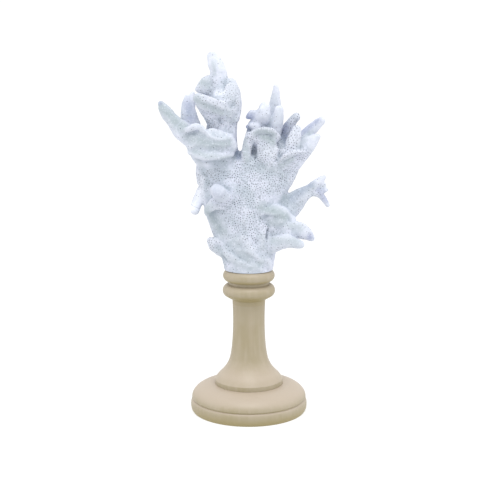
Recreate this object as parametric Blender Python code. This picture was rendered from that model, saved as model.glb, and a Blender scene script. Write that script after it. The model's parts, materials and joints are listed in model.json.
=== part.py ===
"""A piece of branching coral on a turned pedestal, as solids at their real size.

The frame is +Z up, with the origin on the floor under the centre of the foot and +X to the right
of someone who faces the coral's front, which looks towards -Y. The coral is drawn in millimetres
as a set of blades. Each blade is a bent, flattened branch that follows a smooth line. The blades
are fused into one body, sawn flat where it stands on the pedestal, and sawn apart at its forks.
"""

import math

import bmesh
import bpy
from mathutils import Vector

MM = 0.001
HEIGHT = 380.0
GAP = 0.3
PEDESTAL_HEIGHT = 153.0

# the foot: a bead around its rim, and a dome up to the step that the column stands on
FOOT_SIDES = 36
FOOT_BEAD_RADIUS = 62.4
FOOT_BEAD_CENTRE = 60.4
FOOT_BEAD_HEIGHT = 7.0
FOOT_BEAD_HALF = 6.4
FOOT_GROOVE = (60.5, 14.2)
FOOT_DOME = (36.0, 15.5)
FOOT_DOME_REACH = (24.6, 13.6)
FOOT_BOTTOM_RADIUS = 60.5

# the column: a low step, a shaft that sweeps up to its narrowest place, and two rings
COLUMN_SIDES = 30
STEP_RADIUS = 36.5
STEP_TOP = (35.5, 33.9)
SHAFT = [(28.4, 40.0), (22.2, 51.5), (19.15, 63.5), (17.7, 75.5), (16.45, 96.0), (16.6, 109.0), (17.3, 121.0)]
LOWER_RING = (20.8, 131.5)
LOWER_RING_REACH = (7.0, 8.0)
UPPER_RING = (21.4, 147.0)
UPPER_RING_REACH = (6.0, 6.0)

BLADE_SIDES = 16
BLADE_STEPS = 5
BLUNT = 0.8
VOXEL = 1.3
SMOOTH_ROUNDS = 7
LUMP_SIZE = 11.0
LUMP_HEIGHT = 1.6
CORAL_TRIANGLES = 4900
SHARP = math.radians(50)

FRONT = (0.0, -1.0, 0.0)


def blade(points, widths, thicknesses, face=FRONT, end_face=None, cup=0.0, blunt=BLUNT):
    """One branch: points of its middle line, half widths and half thicknesses there, in millimetres.

    face is where its flat side looks, end_face is the same at the tip of a twisted branch, and cup
    is how far its edges bend towards that side, as a share of the half width. A blunt of 1 makes
    the section an ellipse, and less makes its edges fuller.
    """
    return {
        "points": [Vector(p) for p in points],
        "widths": widths,
        "thicknesses": thicknesses,
        "faces": (Vector(face).normalized(), Vector(end_face or face).normalized()),
        "cup": cup,
        "blunt": blunt,
    }


TRUNK = [
    # the slab that carries every branch, round where it stands on the pedestal
    blade([(0, 0, 148), (-0.5, 0, 170), (-3, 0, 200), (-6, 0, 230), (-3, 0, 256), (-1, 0, 268)],
          [24.5, 29.5, 37.5, 43, 46, 40], [23.5, 22, 19, 18, 15, 9], blunt=1.0),
    blade([(-22, 0, 222), (-31, 0, 248), (-33, -2, 270), (-31, -3, 292)],
          [16, 21, 19, 16], [12, 12, 12, 9]),
    blade([(14, 0, 215), (17.5, 0, 240), (25, -1, 262), (30, -2, 280)],
          [20, 23, 26.5, 24], [13, 13, 11, 8]),
    # the full front of the slab, which runs down into a fold on the right
    blade([(8, -6, 268), (6, -8, 246), (0, -9, 222), (-1, -11, 200), (6, -13, 182)],
          [26, 27, 22, 16, 10], [8, 10, 11, 10, 8], blunt=1.1),
    blade([(8, -9, 214), (12, -12, 203), (13, -14, 191), (12, -16, 180)],
          [10, 9.5, 9, 7], [7, 7, 7, 6], blunt=1.1),
    # the soft ridges that slant down to the pedestal
    blade([(-8, -18, 190), (3, -19.5, 178), (13, -17.5, 167), (21, -12.5, 160)],
          [8.5, 8, 7.5, 6], [3.8, 3.6, 3.4, 3], blunt=1.1),
    blade([(-34, -8, 184), (-22, -14.5, 176), (-10, -18.5, 168), (3, -20.5, 161), (12, -19, 157)],
          [8, 8, 8, 7, 5], [3, 3, 3, 2.8, 2.6], blunt=1.1),
    # the low flange on the left
    blade([(-18, -4, 176), (-31, -8, 180), (-38, -10, 184), (-41, -10, 186)],
          [13, 10, 7, 4], [8, 5.5, 4.5, 3], face=(-0.3, -1, 0.1), cup=0.15),
]

SIDE_LOBES = [
    # the stub that points at the viewer, with the web under it, and the small finger behind
    blade([(-22, -6, 229), (-29, -19, 236), (-32, -31, 241)], [12, 9.6, 7.8], [10, 8.2, 6.8],
          face=(0.4, -0.3, 0.9)),
    blade([(-27, -12, 226), (-36, -17, 225), (-42, -14, 219), (-41, -6, 214)], [8, 7, 5.5, 5],
          [5, 4, 4, 5], face=(-0.4, -0.9, 0.3)),
    blade([(-38, 4, 242), (-48, 5, 234), (-54, 3, 224), (-56, 0, 216.5)], [9, 7, 6, 5],
          [7, 6, 5.5, 5]),
]

LOWER_LOBES = [
    # the hood that arches over the hollow, and the back of the hollow
    blade([(10, -7, 216), (17, -12, 219), (25, -14.5, 220), (34, -13, 218), (41, -8, 212)],
          [7, 9, 9.5, 8.5, 6], [4.5, 4.5, 4, 4, 4], face=(0, -0.6, 0.8), blunt=1.1),
    blade([(18, -8, 209), (27, -10, 209), (36, -9.5, 208), (42, -8, 206)], [12, 12, 10, 8],
          [9, 8.5, 8, 7]),
    # the two fingers under it
    blade([(20, -7, 196), (35, -12, 198.5), (49, -13, 198), (59, -12, 194), (66, -11, 188)],
          [11, 10.5, 9, 7.5, 3.5], [7, 6, 5.5, 5, 3]),
    blade([(14, -9, 178), (26, -15, 183), (39, -20, 187), (49, -22, 185), (54, -22, 184)],
          [10, 9, 7, 5.5, 4], [8, 6.5, 5, 5, 4]),
]

MIDDLE_BRANCH = [
    blade([(28, 0, 212), (45, -1, 223), (55, -3, 232), (65, -4, 239.5), (73, -5, 247), (78.5, -5, 252)],
          [16, 12.5, 8.5, 6, 4.5, 2.5], [9, 7, 5.5, 4.5, 3.5, 2.5]),
    blade([(64, -4, 237), (73, -4, 233.5), (79, -3, 227.5), (82.5, -2, 221.5)],
          [5, 3.8, 3.2, 2.6], [4, 3.5, 3, 2.4]),
    blade([(70, -4, 236), (76, -6, 237), (81, -7, 239)], [4, 2.8, 1.6], [3.5, 2.5, 1.6]),
    blade([(68, -4, 240), (76, -5, 243), (79, -6, 244)], [4, 4, 2.5], [3, 2.5, 2]),
]

LEFT_CUP = [
    # the wall that swells towards the viewer, its rolled lower lip and its wavy rims
    blade([(-19, -9, 283), (-29, -16.5, 286), (-43, -22, 288), (-54, -20, 290), (-62, -14, 294)],
          [10, 12.5, 14, 13, 9], [7, 6, 5.5, 5.5, 5], face=(-0.1, -1, -0.15), cup=0.05, blunt=1.0),
    blade([(-59, -17, 281), (-52, -23, 278), (-41, -25, 276.5), (-28, -19, 277), (-18, -10, 278)],
          [5.5, 6, 6, 6, 5.5], [3.2, 3.2, 3.2, 3.2, 3.2], face=(0, -0.9, 0.45), blunt=1.1),
    blade([(-67, -16, 300), (-60, -24, 302.5), (-54, -28, 306), (-48, -28, 304.5), (-43, -25, 297)],
          [3.5, 3.5, 3.5, 3.5, 3], [2.3, 2.4, 2.4, 2.4, 2.4]),
    blade([(-44, -24, 299), (-36, -22, 300), (-26, -16, 296), (-18, -10, 293)],
          [3.5, 4, 4, 3.5], [2.4, 2.5, 2.5, 2.5]),
    blade([(-30, -4, 270), (-45, -9, 275), (-55, -11, 284)], [13, 13, 9], [10, 8, 6]),
]

LEFT_FINGER = [
    blade([(-54, -14, 289), (-68, -13, 300.5), (-78, -11, 311), (-85.5, -10, 320.5), (-90, -9, 328)],
          [10.5, 9.8, 7.3, 6.4, 3.6], [5.5, 5, 5, 4.5, 3], end_face=(-0.3, -1, 0)),
]

SECOND_FINGER = [
    blade([(-55, -6, 285), (-58, -4, 299), (-61, -2, 312), (-63, 0, 325), (-63, 1, 334)],
          [9, 10, 9, 6.8, 3.8], [6, 5, 4.5, 4, 3], end_face=(0.3, -1, 0)),
    blade([(-61, 0, 316), (-58.5, 1, 330), (-58, 2, 337)], [5, 4.4, 3], [3.5, 3.5, 3]),
]

CROWN = [
    blade([(-28, -3, 278), (-28, -4, 300), (-25.5, -6, 316), (-21.5, -6, 331), (-19, -4, 343), (-18, -3, 349)],
          [17, 16, 15.5, 13.5, 10, 6], [10, 8.5, 8, 7.5, 6, 4.5], face=(0.05, -1, 0), cup=-0.15),
    # the knob in front, the small one on its right and the shelf that leans out on the left
    blade([(-19.5, -8, 318), (-17.5, -12.5, 333), (-17.5, -13.5, 345)], [10, 9.5, 6.5], [7, 6.5, 5],
          face=(0.1, -1, 0.15), blunt=1.0),
    blade([(-38, -8, 324), (-29, -11, 329), (-20, -12, 334)], [8, 10, 9], [6, 7, 6], face=(0, -0.6, 0.8)),
    blade([(-14, -6, 312), (-12, -7, 326), (-12.5, -5, 341)], [4.5, 5, 4], [6, 5, 4]),
    blade([(-18, -9, 317), (-31, -15, 321), (-43, -20, 327.5), (-53, -20, 334.5)],
          [11, 12, 10, 6], [6, 5.5, 5, 3.5], face=(-0.15, -0.85, -0.5), blunt=1.0),
    blade([(-30, -5, 294), (-34.5, -8, 307), (-41.5, -13, 318), (-49.5, -16, 328.5)],
          [10, 7.8, 6.6, 5.5], [7, 6, 5, 4]),
    # the flap behind on the left, and the ones that close the crown at the back
    blade([(-30, -1, 343), (-40, 1, 346), (-47.5, 4, 344), (-53, 7, 341)], [13, 11, 8, 3.5],
          [4.5, 4, 3.5, 2.5], face=(-0.3, -1, 0.1)),
    blade([(-36, 2, 322), (-44, 12, 332), (-48, 17, 342)], [10, 8, 5], [6, 4.5, 3], face=(-0.5, 0.8, 0.2)),
    blade([(-22, 2, 310), (-18, 14, 325), (-17, 21, 338)], [11, 8, 5], [7, 5, 3.5], face=(0.3, 1, 0.3)),
]

TOP_FINGER = [
    blade([(-29, -2, 330), (-30, -1, 350), (-31.5, 0, 360), (-35, 1, 369.5), (-38.8, 2, 377)],
          [9, 8.5, 8.8, 7.8, 4.8], [7, 5.5, 5, 4.5, 3], end_face=(-0.2, -1, 0.1)),
]

RIGHT_FORK = [
    # the thin pillar left of the slot, the wall behind it and the hooded lobe on the right
    blade([(-3.5, -6, 260), (-3, -10, 274), (-1, -12, 286), (2, -14, 296)], [5.6, 5.6, 5.5, 5.5],
          [7, 5, 4, 3.5], face=(-0.35, -1, 0), blunt=1.0),
    blade([(-4, 1, 262), (-2, 3, 279), (2, 5, 293), (6, 6, 305)], [6, 5.5, 6, 7], [7, 6, 5.5, 5]),
    blade([(22, -5, 256), (20, -10, 272), (18.5, -13, 284), (18, -14, 293)],
          [13.5, 11.5, 10.5, 9.5], [9, 7, 6, 5], blunt=0.7),
    blade([(12, -7, 262), (12, -10, 276), (12.5, -12, 291)], [5, 4.5, 5], [7, 6, 5], blunt=0.7),
    blade([(0, -11, 290), (6.5, -16, 294.5), (14.5, -18, 297), (22, -16.5, 296.5), (28, -10, 293)],
          [6, 8, 8.5, 7.5, 5.5], [3.5, 4, 4.5, 4.2, 4], face=(0, -0.85, -0.5), blunt=1.1),
    # the body behind them
    blade([(6, 6, 264), (7, 9, 284), (9, 9, 300)], [12, 10, 9.5], [10, 8, 8]),
    blade([(24, 4, 262), (26, 7, 278), (27, 8, 290)], [20, 15, 10], [9, 7, 6]),
    # the lobe on the right of the hollow, and the fold under it
    blade([(40, -4, 264), (43, -9, 279), (46.5, -11, 292), (49, -10, 302)],
          [10, 8, 7, 4.8], [7, 5.5, 5, 4]),
    blade([(28, -8, 263), (36, -12.5, 270), (45, -13, 275), (55, -8, 278)], [4, 6, 6, 4.5],
          [3, 3.5, 3.5, 3.5], face=(0.1, -0.85, -0.4), blunt=1.1),
    # the finger that stands at the back of the hollow
    blade([(34, 14, 274), (38, 13, 292), (44, 8, 306), (49.5, 3, 314.3)], [9, 8, 6, 4.6], [5, 4.5, 4, 3.8],
          face=(-0.5, -0.85, 0.1)),
]

OUTER_FINGERS = [
    blade([(38, -1, 264), (51, -3, 276), (61, -4, 285.5), (71, -4, 293.5)], [14, 11.5, 9, 4],
          [8, 6, 5, 3.2]),
    blade([(48, 2, 280), (57, 3, 293), (67, 3, 302.5), (76, 2, 310)], [8, 6.5, 6.3, 4.2],
          [6, 4.5, 4, 3], end_face=(0.2, -1, 0.1)),
]

KNOB_BRANCH = [
    blade([(8, 8, 285), (10, 7, 303), (14.5, 2, 314), (16.5, 1, 323.5)], [10, 9.5, 8.5, 6], [9, 8, 7, 5.5]),
    blade([(22, 6, 290), (28, 2, 303), (30.5, 0, 314), (31, -1, 321.5)], [9, 7, 6, 4.6], [8, 6.5, 5.5, 4.5]),
    blade([(11, 5, 313), (4, 4, 315.5), (-1.5, 3, 313)], [8, 5.5, 2.4], [4.5, 3, 2.2], face=(-0.2, -1, -0.2)),
    blade([(8, 0, 302), (2, -1, 304), (-2, 0, 303)], [6, 4, 2], [5, 3.5, 2.2]),
    # the tall finger and a shorter one behind it
    blade([(20, 10, 290), (24.5, 15, 308), (27, 16, 322), (28, 16, 334), (28, 15, 344)],
          [9, 8.5, 7.2, 5, 2.8], [6, 5.5, 5, 4, 2.6]),
    blade([(12, 10, 296), (12, 20, 308), (14, 26, 318)], [9, 7, 4], [6, 5, 3.5], face=(0, 1, 0.3)),
]

BACK_LEFT = [
    blade([(-18, 6, 222), (-28, 20, 244), (-34, 31, 262), (-35, 37, 278)], [18, 14, 11, 6],
          [9, 7.5, 6, 4], face=(-0.2, 1, 0.2)),
    blade([(-28, 20, 242), (-42, 29, 253), (-51, 33, 264)], [10, 8, 4], [6, 5, 3.5], face=(-0.4, 1, 0)),
    blade([(-26, 18, 232), (-36, 32, 232), (-42, 40, 238)], [9, 7, 4.5], [6, 5, 4], face=(0, 0.5, 1)),
]

BACK_RIGHT = [
    blade([(16, 6, 220), (24, 22, 240), (27, 34, 256), (24, 41, 270)], [17, 14, 10.5, 6],
          [9, 7.5, 6, 4], face=(0.2, 1, 0.2)),
    blade([(24, 20, 236), (36, 29, 244), (44, 33, 253)], [10, 8, 4.5], [6, 5, 3.5], face=(0.5, 1, 0)),
    blade([(4, 10, 180), (8, 24, 192), (10, 33, 205)], [15, 11, 6], [8, 6, 4], face=(0, 1, 0.5)),
]

BRANCHES = (TRUNK, SIDE_LOBES, LOWER_LOBES, MIDDLE_BRANCH, LEFT_CUP, LEFT_FINGER, SECOND_FINGER,
            CROWN, TOP_FINGER, RIGHT_FORK, OUTER_FINGERS, KNOB_BRANCH, BACK_LEFT, BACK_RIGHT)


def clear_scene():
    """Removes what a new file holds."""
    for obj in list(bpy.data.objects):
        bpy.data.objects.remove(obj)


def material(name, colour, roughness):
    """A plain surface of one colour."""
    made = bpy.data.materials.new(name)
    made.use_nodes = True
    shader = made.node_tree.nodes["Principled BSDF"]
    shader.inputs["Base Color"].default_value = (*colour, 1.0)
    shader.inputs["Roughness"].default_value = roughness
    shader.inputs["Metallic"].default_value = 0.0
    return made


def link(name, mesh, surface):
    """An object of that name and mesh in the scene."""
    obj = bpy.data.objects.new(name, mesh)
    obj.data.materials.append(surface)
    bpy.context.scene.collection.objects.link(obj)
    return obj


def smooth_value(values, place):
    """The value of a smooth curve through values at place, from 0 at the first to 1 at the last."""
    spans = len(values) - 1
    at = min(int(place * spans), spans - 1)
    t = place * spans - at
    before = values[max(at - 1, 0)]
    first, second = values[at], values[at + 1]
    after = values[min(at + 2, spans)]
    return (first * 2 + (second - before) * t + (before * 2 - first * 5 + second * 4 - after) * t * t
            + (first * 3 - before - second * 3 + after) * t ** 3) * 0.5


def ring_points(middle, side, face, width, thickness, made):
    """One closed cross-section of a blade, with edges that bend towards the face."""
    points = []
    for n in range(BLADE_SIDES):
        turn = math.tau * n / BLADE_SIDES
        across = math.cos(turn)
        through = math.sin(turn)
        through = math.copysign(abs(through) ** made["blunt"], through)
        bend = made["cup"] * width * across * across
        points.append(middle + side * (width * across) + face * (thickness * through + bend))
    return points


def add_blade(bm, made):
    """Lofts one blade into the mesh as a closed tube with a round end on each side."""
    steps = BLADE_STEPS * (len(made["points"]) - 1)
    rings = []
    for n in range(steps + 1):
        place = n / steps
        middle = smooth_value(made["points"], place)
        ahead = smooth_value(made["points"], min(place + 0.02, 1.0))
        behind = smooth_value(made["points"], max(place - 0.02, 0.0))
        along = (ahead - behind).normalized()
        wanted = made["faces"][0].lerp(made["faces"][1], place)
        side = wanted.cross(along).normalized()
        face = along.cross(side).normalized()
        width = smooth_value(made["widths"], place)
        thickness = smooth_value(made["thicknesses"], place)
        rings.append((middle, along, side, face, width, thickness))
    first, last = rings[0], rings[-1]
    shells = [rounded(first, -turn) for turn in (80, 60, 35)]
    shells += [(m, s, f, w, t) for m, _, s, f, w, t in rings]
    shells += [rounded(last, turn) for turn in (35, 60, 80)]
    loops = []
    for middle, side, face, width, thickness in shells:
        points = ring_points(middle, side, face, width, thickness, made)
        loops.append([bm.verts.new(p * MM) for p in points])
    for low, high in zip(loops, loops[1:]):
        for n in range(BLADE_SIDES):
            after = (n + 1) % BLADE_SIDES
            bm.faces.new((low[n], low[after], high[after], high[n]))
    bm.faces.new(list(reversed(loops[0])))
    bm.faces.new(loops[-1])


def rounded(ring, degrees):
    """A ring past an end of a blade, drawn in and moved out as on a round tip."""
    middle, along, side, face, width, thickness = ring
    turn = math.radians(abs(degrees))
    reach = min(width, thickness) * math.copysign(math.sin(turn), degrees)
    left = math.cos(turn)
    width_left = max(width - thickness, 0.0) * 0.6 * left ** 0.5 + min(width, thickness) * left
    return middle + along * reach, side, face, min(width_left, width), thickness * left


def fused_coral():
    """Every blade fused into one closed body, with the fillets and slow lumps of grown coral."""
    bm = bmesh.new()
    for branch in BRANCHES:
        for made in branch:
            add_blade(bm, made)
    bmesh.ops.recalc_face_normals(bm, faces=bm.faces)
    mesh = bpy.data.meshes.new("coral")
    bm.to_mesh(mesh)
    bm.free()
    obj = bpy.data.objects.new("coral", mesh)
    bpy.context.scene.collection.objects.link(obj)

    fuse = obj.modifiers.new("fuse", "REMESH")
    fuse.mode = "VOXEL"
    fuse.voxel_size = VOXEL * MM
    fillet = obj.modifiers.new("fillet", "SMOOTH")
    fillet.factor = 0.5
    fillet.iterations = SMOOTH_ROUNDS
    lumps = bpy.data.textures.new("lumps", "CLOUDS")
    lumps.noise_scale = LUMP_SIZE * MM
    lumps.noise_depth = 1
    swell = obj.modifiers.new("swell", "DISPLACE")
    swell.texture = lumps
    swell.texture_coords = "GLOBAL"
    swell.strength = LUMP_HEIGHT * MM
    swell.mid_level = 0.5

    body = evaluated(obj)
    obj.modifiers.clear()
    obj.data = body
    facets = sum(len(p.vertices) - 2 for p in body.polygons)
    fewer = obj.modifiers.new("fewer", "DECIMATE")
    fewer.ratio = CORAL_TRIANGLES / facets
    body = evaluated(obj)
    bpy.data.objects.remove(obj)
    return body


def evaluated(obj):
    """A mesh of the object with its modifiers worked in."""
    graph = bpy.context.evaluated_depsgraph_get()
    return bpy.data.meshes.new_from_object(obj.evaluated_get(graph), depsgraph=graph)


# where each fork is sawn off: a point on the cut, which way the branch leaves it, how far the saw
# reaches to each side and through, and a point on the branch beyond the cut
FORKS = {
    "coral_top_finger": ((-31, -1, 359), (-0.05, 0, 1), (12, 9), (-36, 1, 371)),
    "coral_left_finger": ((-73.4, -13.4, 305.8), (-0.72, 0, 0.69), (10, 6.5), (-84, -10, 319)),
    "coral_second_finger": ((-61.7, -2.2, 316), (-0.15, 0, 1), (9.5, 6.5), (-63, 0, 328)),
    "coral_crown": ((-27.6, -4, 306.3), (0.1, 0, 1), (17.5, 14), (-20, -6, 330)),
    "coral_left_fork": ((-32, -8, 274), (-0.26, 0, 0.96), (25, 26), (-44, -24, 288)),
    "coral_third_finger": ((38.9, 10.8, 296.7), (0.52, -0.2, 0.83), (9, 8), (46, 6, 309)),
    "coral_knob_branch": ((15.5, 9, 304), (0.1, 0, 1), (21, 16), (14, 2, 314)),
    "coral_outer_fingers": ((58.5, -0.6, 286), (0.75, 0, 0.66), (14, 11), (65, 3, 300)),
    "coral_right_fork": ((23.2, -0.4, 270.7), (0.3, 0, 0.95), (33.5, 19), (45, -10, 290)),
    "coral_middle_branch": ((50.2, -2, 228), (0.72, 0, 0.69), (12, 9), (65, -4, 239)),
    "coral_lower_finger": ((50.5, -12.5, 198), (1, -0.1, 0), (11, 8), (59, -12, 194)),
    "coral_side_stub": ((-30.5, -21, 237.5), (-0.25, -0.95, 0.2), (12, 13), (-33, -33, 241)),
    "coral_side_finger": ((-55.6, 2, 220.3), (-0.4, 0, -0.9), (7.5, 8), (-56, 0, 216)),
    "coral_back_left": ((-27, 22, 243), (-0.3, 0.8, 0.5), (20, 17), (-34, 31, 262)),
    "coral_back_right": ((24, 21, 240), (0.25, 0.85, 0.45), (17, 14), (27, 34, 256)),
}


def block(name, middle, direction, half_sizes):
    """A box around a middle, with its own Z along a direction and half sizes along X, Y and Z."""
    bpy.ops.mesh.primitive_cube_add(size=2.0)
    made = bpy.context.object
    made.name = name
    up = Vector(direction).normalized()
    across = Vector((0, 1, 0)).cross(up).normalized()
    through = up.cross(across)
    for corner in made.data.vertices:
        x, y, z = corner.co
        at = Vector(middle) + across * (x * half_sizes[0]) + through * (y * half_sizes[1]) + up * (z * half_sizes[2])
        corner.co = at * MM
    made.hide_render = True
    made.display_type = "WIRE"
    return made


def boolean(mesh, cutter, operation):
    """The mesh after one exact Boolean with the cutter, which is then removed."""
    obj = bpy.data.objects.new("work", mesh)
    bpy.context.scene.collection.objects.link(obj)
    cut = obj.modifiers.new("cut", "BOOLEAN")
    cut.operation = operation
    cut.object = cutter
    made = evaluated(obj)
    bpy.data.objects.remove(obj)
    bpy.data.objects.remove(cutter)
    return made


def loose_bodies(mesh):
    """Each closed body of a mesh, as a list of its faces' numbers."""
    bm = bmesh.new()
    bm.from_mesh(mesh)
    bm.faces.ensure_lookup_table()
    seen = set()
    bodies = []
    for start in bm.faces:
        if start.index in seen:
            continue
        seen.add(start.index)
        body, edge = [], [start]
        while edge:
            face = edge.pop()
            body.append(face.index)
            for side in face.edges:
                for other in side.link_faces:
                    if other.index not in seen:
                        seen.add(other.index)
                        edge.append(other)
        bodies.append(body)
    bm.free()
    return bodies


def only(mesh, faces):
    """A copy of the mesh that keeps these faces only."""
    kept = set(faces)
    bm = bmesh.new()
    bm.from_mesh(mesh)
    bmesh.ops.delete(bm, geom=[f for f in bm.faces if f.index not in kept], context="FACES")
    made = bpy.data.meshes.new(mesh.name)
    bm.to_mesh(made)
    bm.free()
    return made


def sawn_off(mesh, fork):
    """The rest of the body and the branch beyond the fork's cut."""
    middle, direction, reach, tip = fork
    saw = block("saw", middle, direction, (*reach, GAP / 2))
    cut = boolean(mesh, saw, "DIFFERENCE")
    goal = Vector(tip) * MM
    bodies = []
    for faces in loose_bodies(cut):
        near = min((cut.polygons[n].center - goal).length for n in faces)
        bodies.append((near, faces))
    bodies.sort(key=lambda pair: pair[0])
    branch = only(cut, bodies[0][1])
    rest = only(cut, [n for _, faces in bodies[1:] for n in faces])
    return rest, branch


def profile_object(name, profile, sides, surface):
    """A solid turned about the Z axis from a profile that runs from its top middle to its bottom middle."""
    mesh = bpy.data.meshes.new(name)
    edges = [(n, n + 1) for n in range(len(profile) - 1)]
    mesh.from_pydata([(r * MM, 0, z * MM) for r, z in profile], edges, [])
    obj = link(name, mesh, surface)
    turn = obj.modifiers.new("turn", "SCREW")
    turn.axis = "Z"
    turn.angle = math.tau
    turn.steps = sides
    turn.render_steps = sides
    turn.use_merge_vertices = True
    turn.merge_threshold = 0.00005
    turn.use_smooth_shade = True
    return obj


def arc(centre, reach, start, end, steps):
    """Points of an upright ellipse from one angle to another, in degrees."""
    points = []
    for n in range(steps + 1):
        turn = math.radians(start + (end - start) * n / steps)
        points.append((centre[0] + reach[0] * math.cos(turn), centre[1] + reach[1] * math.sin(turn)))
    return points


def pedestal(surface):
    """The turned foot and the turned column with its two rings."""
    foot = [(0.0, FOOT_DOME[1] + FOOT_DOME_REACH[1])]
    foot += arc(FOOT_DOME, FOOT_DOME_REACH, 90, 0, 7)
    foot.append(FOOT_GROOVE)
    bead_reach = (FOOT_BEAD_RADIUS - FOOT_BEAD_CENTRE, FOOT_BEAD_HALF)
    foot += arc((FOOT_BEAD_CENTRE, FOOT_BEAD_HEIGHT), bead_reach, 75, -60, 5)
    foot += [(FOOT_BOTTOM_RADIUS, 0.0), (0.0, 0.0)]
    profile_object("pedestal_foot", foot, FOOT_SIDES, surface)

    step_bottom = FOOT_DOME[1] + FOOT_DOME_REACH[1] + GAP
    column = [(0.0, PEDESTAL_HEIGHT)]
    column += arc(UPPER_RING, UPPER_RING_REACH, 90, -75, 7)
    column += arc(LOWER_RING, LOWER_RING_REACH, 80, -60, 7)
    steps = 3 * (len(SHAFT) - 1)
    radii = [r for r, _ in SHAFT]
    heights = [z for _, z in SHAFT]
    for n in range(steps, -1, -2):
        column.append((smooth_value(radii, n / steps), smooth_value(heights, n / steps)))
    column += [STEP_TOP, (STEP_RADIUS, step_bottom), (0.0, step_bottom)]
    profile_object("pedestal_column", column, COLUMN_SIDES, surface)


def coral_piece(name, mesh, surface):
    """An object of one sawn piece, smooth but for the edges of its cuts."""
    mesh.shade_smooth()
    mesh.set_sharp_from_angle(angle=SHARP)
    link(name, mesh, surface)


def main():
    """Builds the pedestal and the coral."""
    clear_scene()
    coral = material("white coral", (0.83, 0.86, 0.92), 0.8)
    cream = material("cream paint", (0.62, 0.54, 0.38), 0.5)
    pedestal(cream)
    body = fused_coral()
    # a hollow that the blades close in is filled
    body = only(body, max(loose_bodies(body), key=len))
    below = block("below", (0, 0, 0), (0, 0, 1), (HEIGHT, HEIGHT, PEDESTAL_HEIGHT + GAP))
    body = boolean(body, below, "DIFFERENCE")
    for name, fork in FORKS.items():
        body, branch = sawn_off(body, fork)
        coral_piece(name, branch, coral)
    coral_piece("coral_trunk", body, coral)


main()
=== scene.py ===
"""The looks of a piece of branching coral on its turned pedestal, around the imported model.

The coral is drawn in millimetres as a set of blades, each a bent and flattened branch along a
smooth line. The blades are fused into one body, its pits are sunk into it one by one, and it is
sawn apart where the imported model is, so that each piece takes the place of one solid.
"""

from __future__ import annotations

import json
import logging
import math
from dataclasses import dataclass, field
from enum import Enum
from typing import Iterable, Optional

import bpy
import numpy as np
from bpy.types import Material, Mesh, NodeSocket, Object, ShaderNode
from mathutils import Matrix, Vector
from mathutils.kdtree import KDTree

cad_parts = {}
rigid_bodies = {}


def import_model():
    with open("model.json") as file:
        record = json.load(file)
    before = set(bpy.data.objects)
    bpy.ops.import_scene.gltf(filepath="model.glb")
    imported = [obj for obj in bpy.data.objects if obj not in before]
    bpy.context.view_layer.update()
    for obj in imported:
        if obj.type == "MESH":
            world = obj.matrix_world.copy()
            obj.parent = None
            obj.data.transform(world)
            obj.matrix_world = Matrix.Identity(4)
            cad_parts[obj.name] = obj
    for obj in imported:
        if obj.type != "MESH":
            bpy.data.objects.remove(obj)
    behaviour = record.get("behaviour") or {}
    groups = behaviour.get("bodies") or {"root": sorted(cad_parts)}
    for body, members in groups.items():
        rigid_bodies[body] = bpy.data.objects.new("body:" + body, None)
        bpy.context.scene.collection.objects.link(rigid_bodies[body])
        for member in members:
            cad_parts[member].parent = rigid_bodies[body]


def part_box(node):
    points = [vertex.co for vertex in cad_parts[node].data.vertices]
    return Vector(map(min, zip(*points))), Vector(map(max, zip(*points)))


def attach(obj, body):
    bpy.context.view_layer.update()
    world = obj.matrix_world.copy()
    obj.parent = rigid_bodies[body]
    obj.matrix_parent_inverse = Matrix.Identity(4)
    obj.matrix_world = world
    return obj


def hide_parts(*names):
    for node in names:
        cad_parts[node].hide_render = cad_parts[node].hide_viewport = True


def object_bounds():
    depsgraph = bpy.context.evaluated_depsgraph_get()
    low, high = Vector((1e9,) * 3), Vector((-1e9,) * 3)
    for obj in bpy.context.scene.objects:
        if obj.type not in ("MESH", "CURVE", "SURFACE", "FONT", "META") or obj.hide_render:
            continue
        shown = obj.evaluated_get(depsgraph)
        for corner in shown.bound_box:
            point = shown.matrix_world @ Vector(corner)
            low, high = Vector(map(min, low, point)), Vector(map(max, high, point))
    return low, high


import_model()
CAD_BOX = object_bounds()

LOG = logging.getLogger("coral")
MM = 0.001

Point = tuple[float, float, float]
Pair = tuple[float, float]
Colour = tuple[float, float, float]
FRONT: Point = (0.0, -1.0, 0.0)


@dataclass
class Blade:
    """One branch of the coral, in millimetres.

    Its middle line runs smoothly through points. widths and thicknesses are half sizes there. face
    is where the flat side looks, end_face is the same at a twisted tip, cup bends the edges towards
    that side, and a blunt of 1 makes the section an ellipse.
    """

    points: list[Point]
    widths: list[float]
    thicknesses: list[float]
    face: Point = FRONT
    end_face: Optional[Point] = None
    cup: float = 0.0
    blunt: float = 0.8


@dataclass
class Branch:
    """Blades that belong together, and how thickly their roots and tips are pitted, from 0 to 1."""

    name: str
    blades: list[Blade]
    root: float
    tip: float


@dataclass
class Fork:
    """Where a branch is sawn off.

    middle is a point on the cut, direction is which way the branch leaves it, reach is how far the
    saw goes to each side and through, and beyond is a point on the branch past the cut.
    """

    middle: Point
    direction: Point
    reach: Pair
    beyond: Point


@dataclass
class Stroke:
    """A line on the surface that works as far as its reach.

    Its amount is how far it raises the surface, or cuts it in below zero, or how much of a painted
    tone it lays on, mostly painted shade or painted highlight.
    """

    points: list[Point]
    reach: float
    amount: float


class Tone(Enum):
    """Painted tones laid on the coral, each with the name of the attribute that holds it: slate
    painted shade that also gives some lobes a slate tone, purple painted shade with a faint purple
    tint, and pale painted highlights.
    """

    GREY = "grey"
    VIOLET = "violet"
    BRIGHT = "bright"


class PitSize(Enum):
    """Half the width of a pit's mouth and its depth, in millimetres, and its wall's segments."""

    WIDE = (0.8, 1.2, 2)
    MIDDLE = (0.64, 1.0, 2)
    NARROW = (0.45, 0.6, 1)


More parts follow.
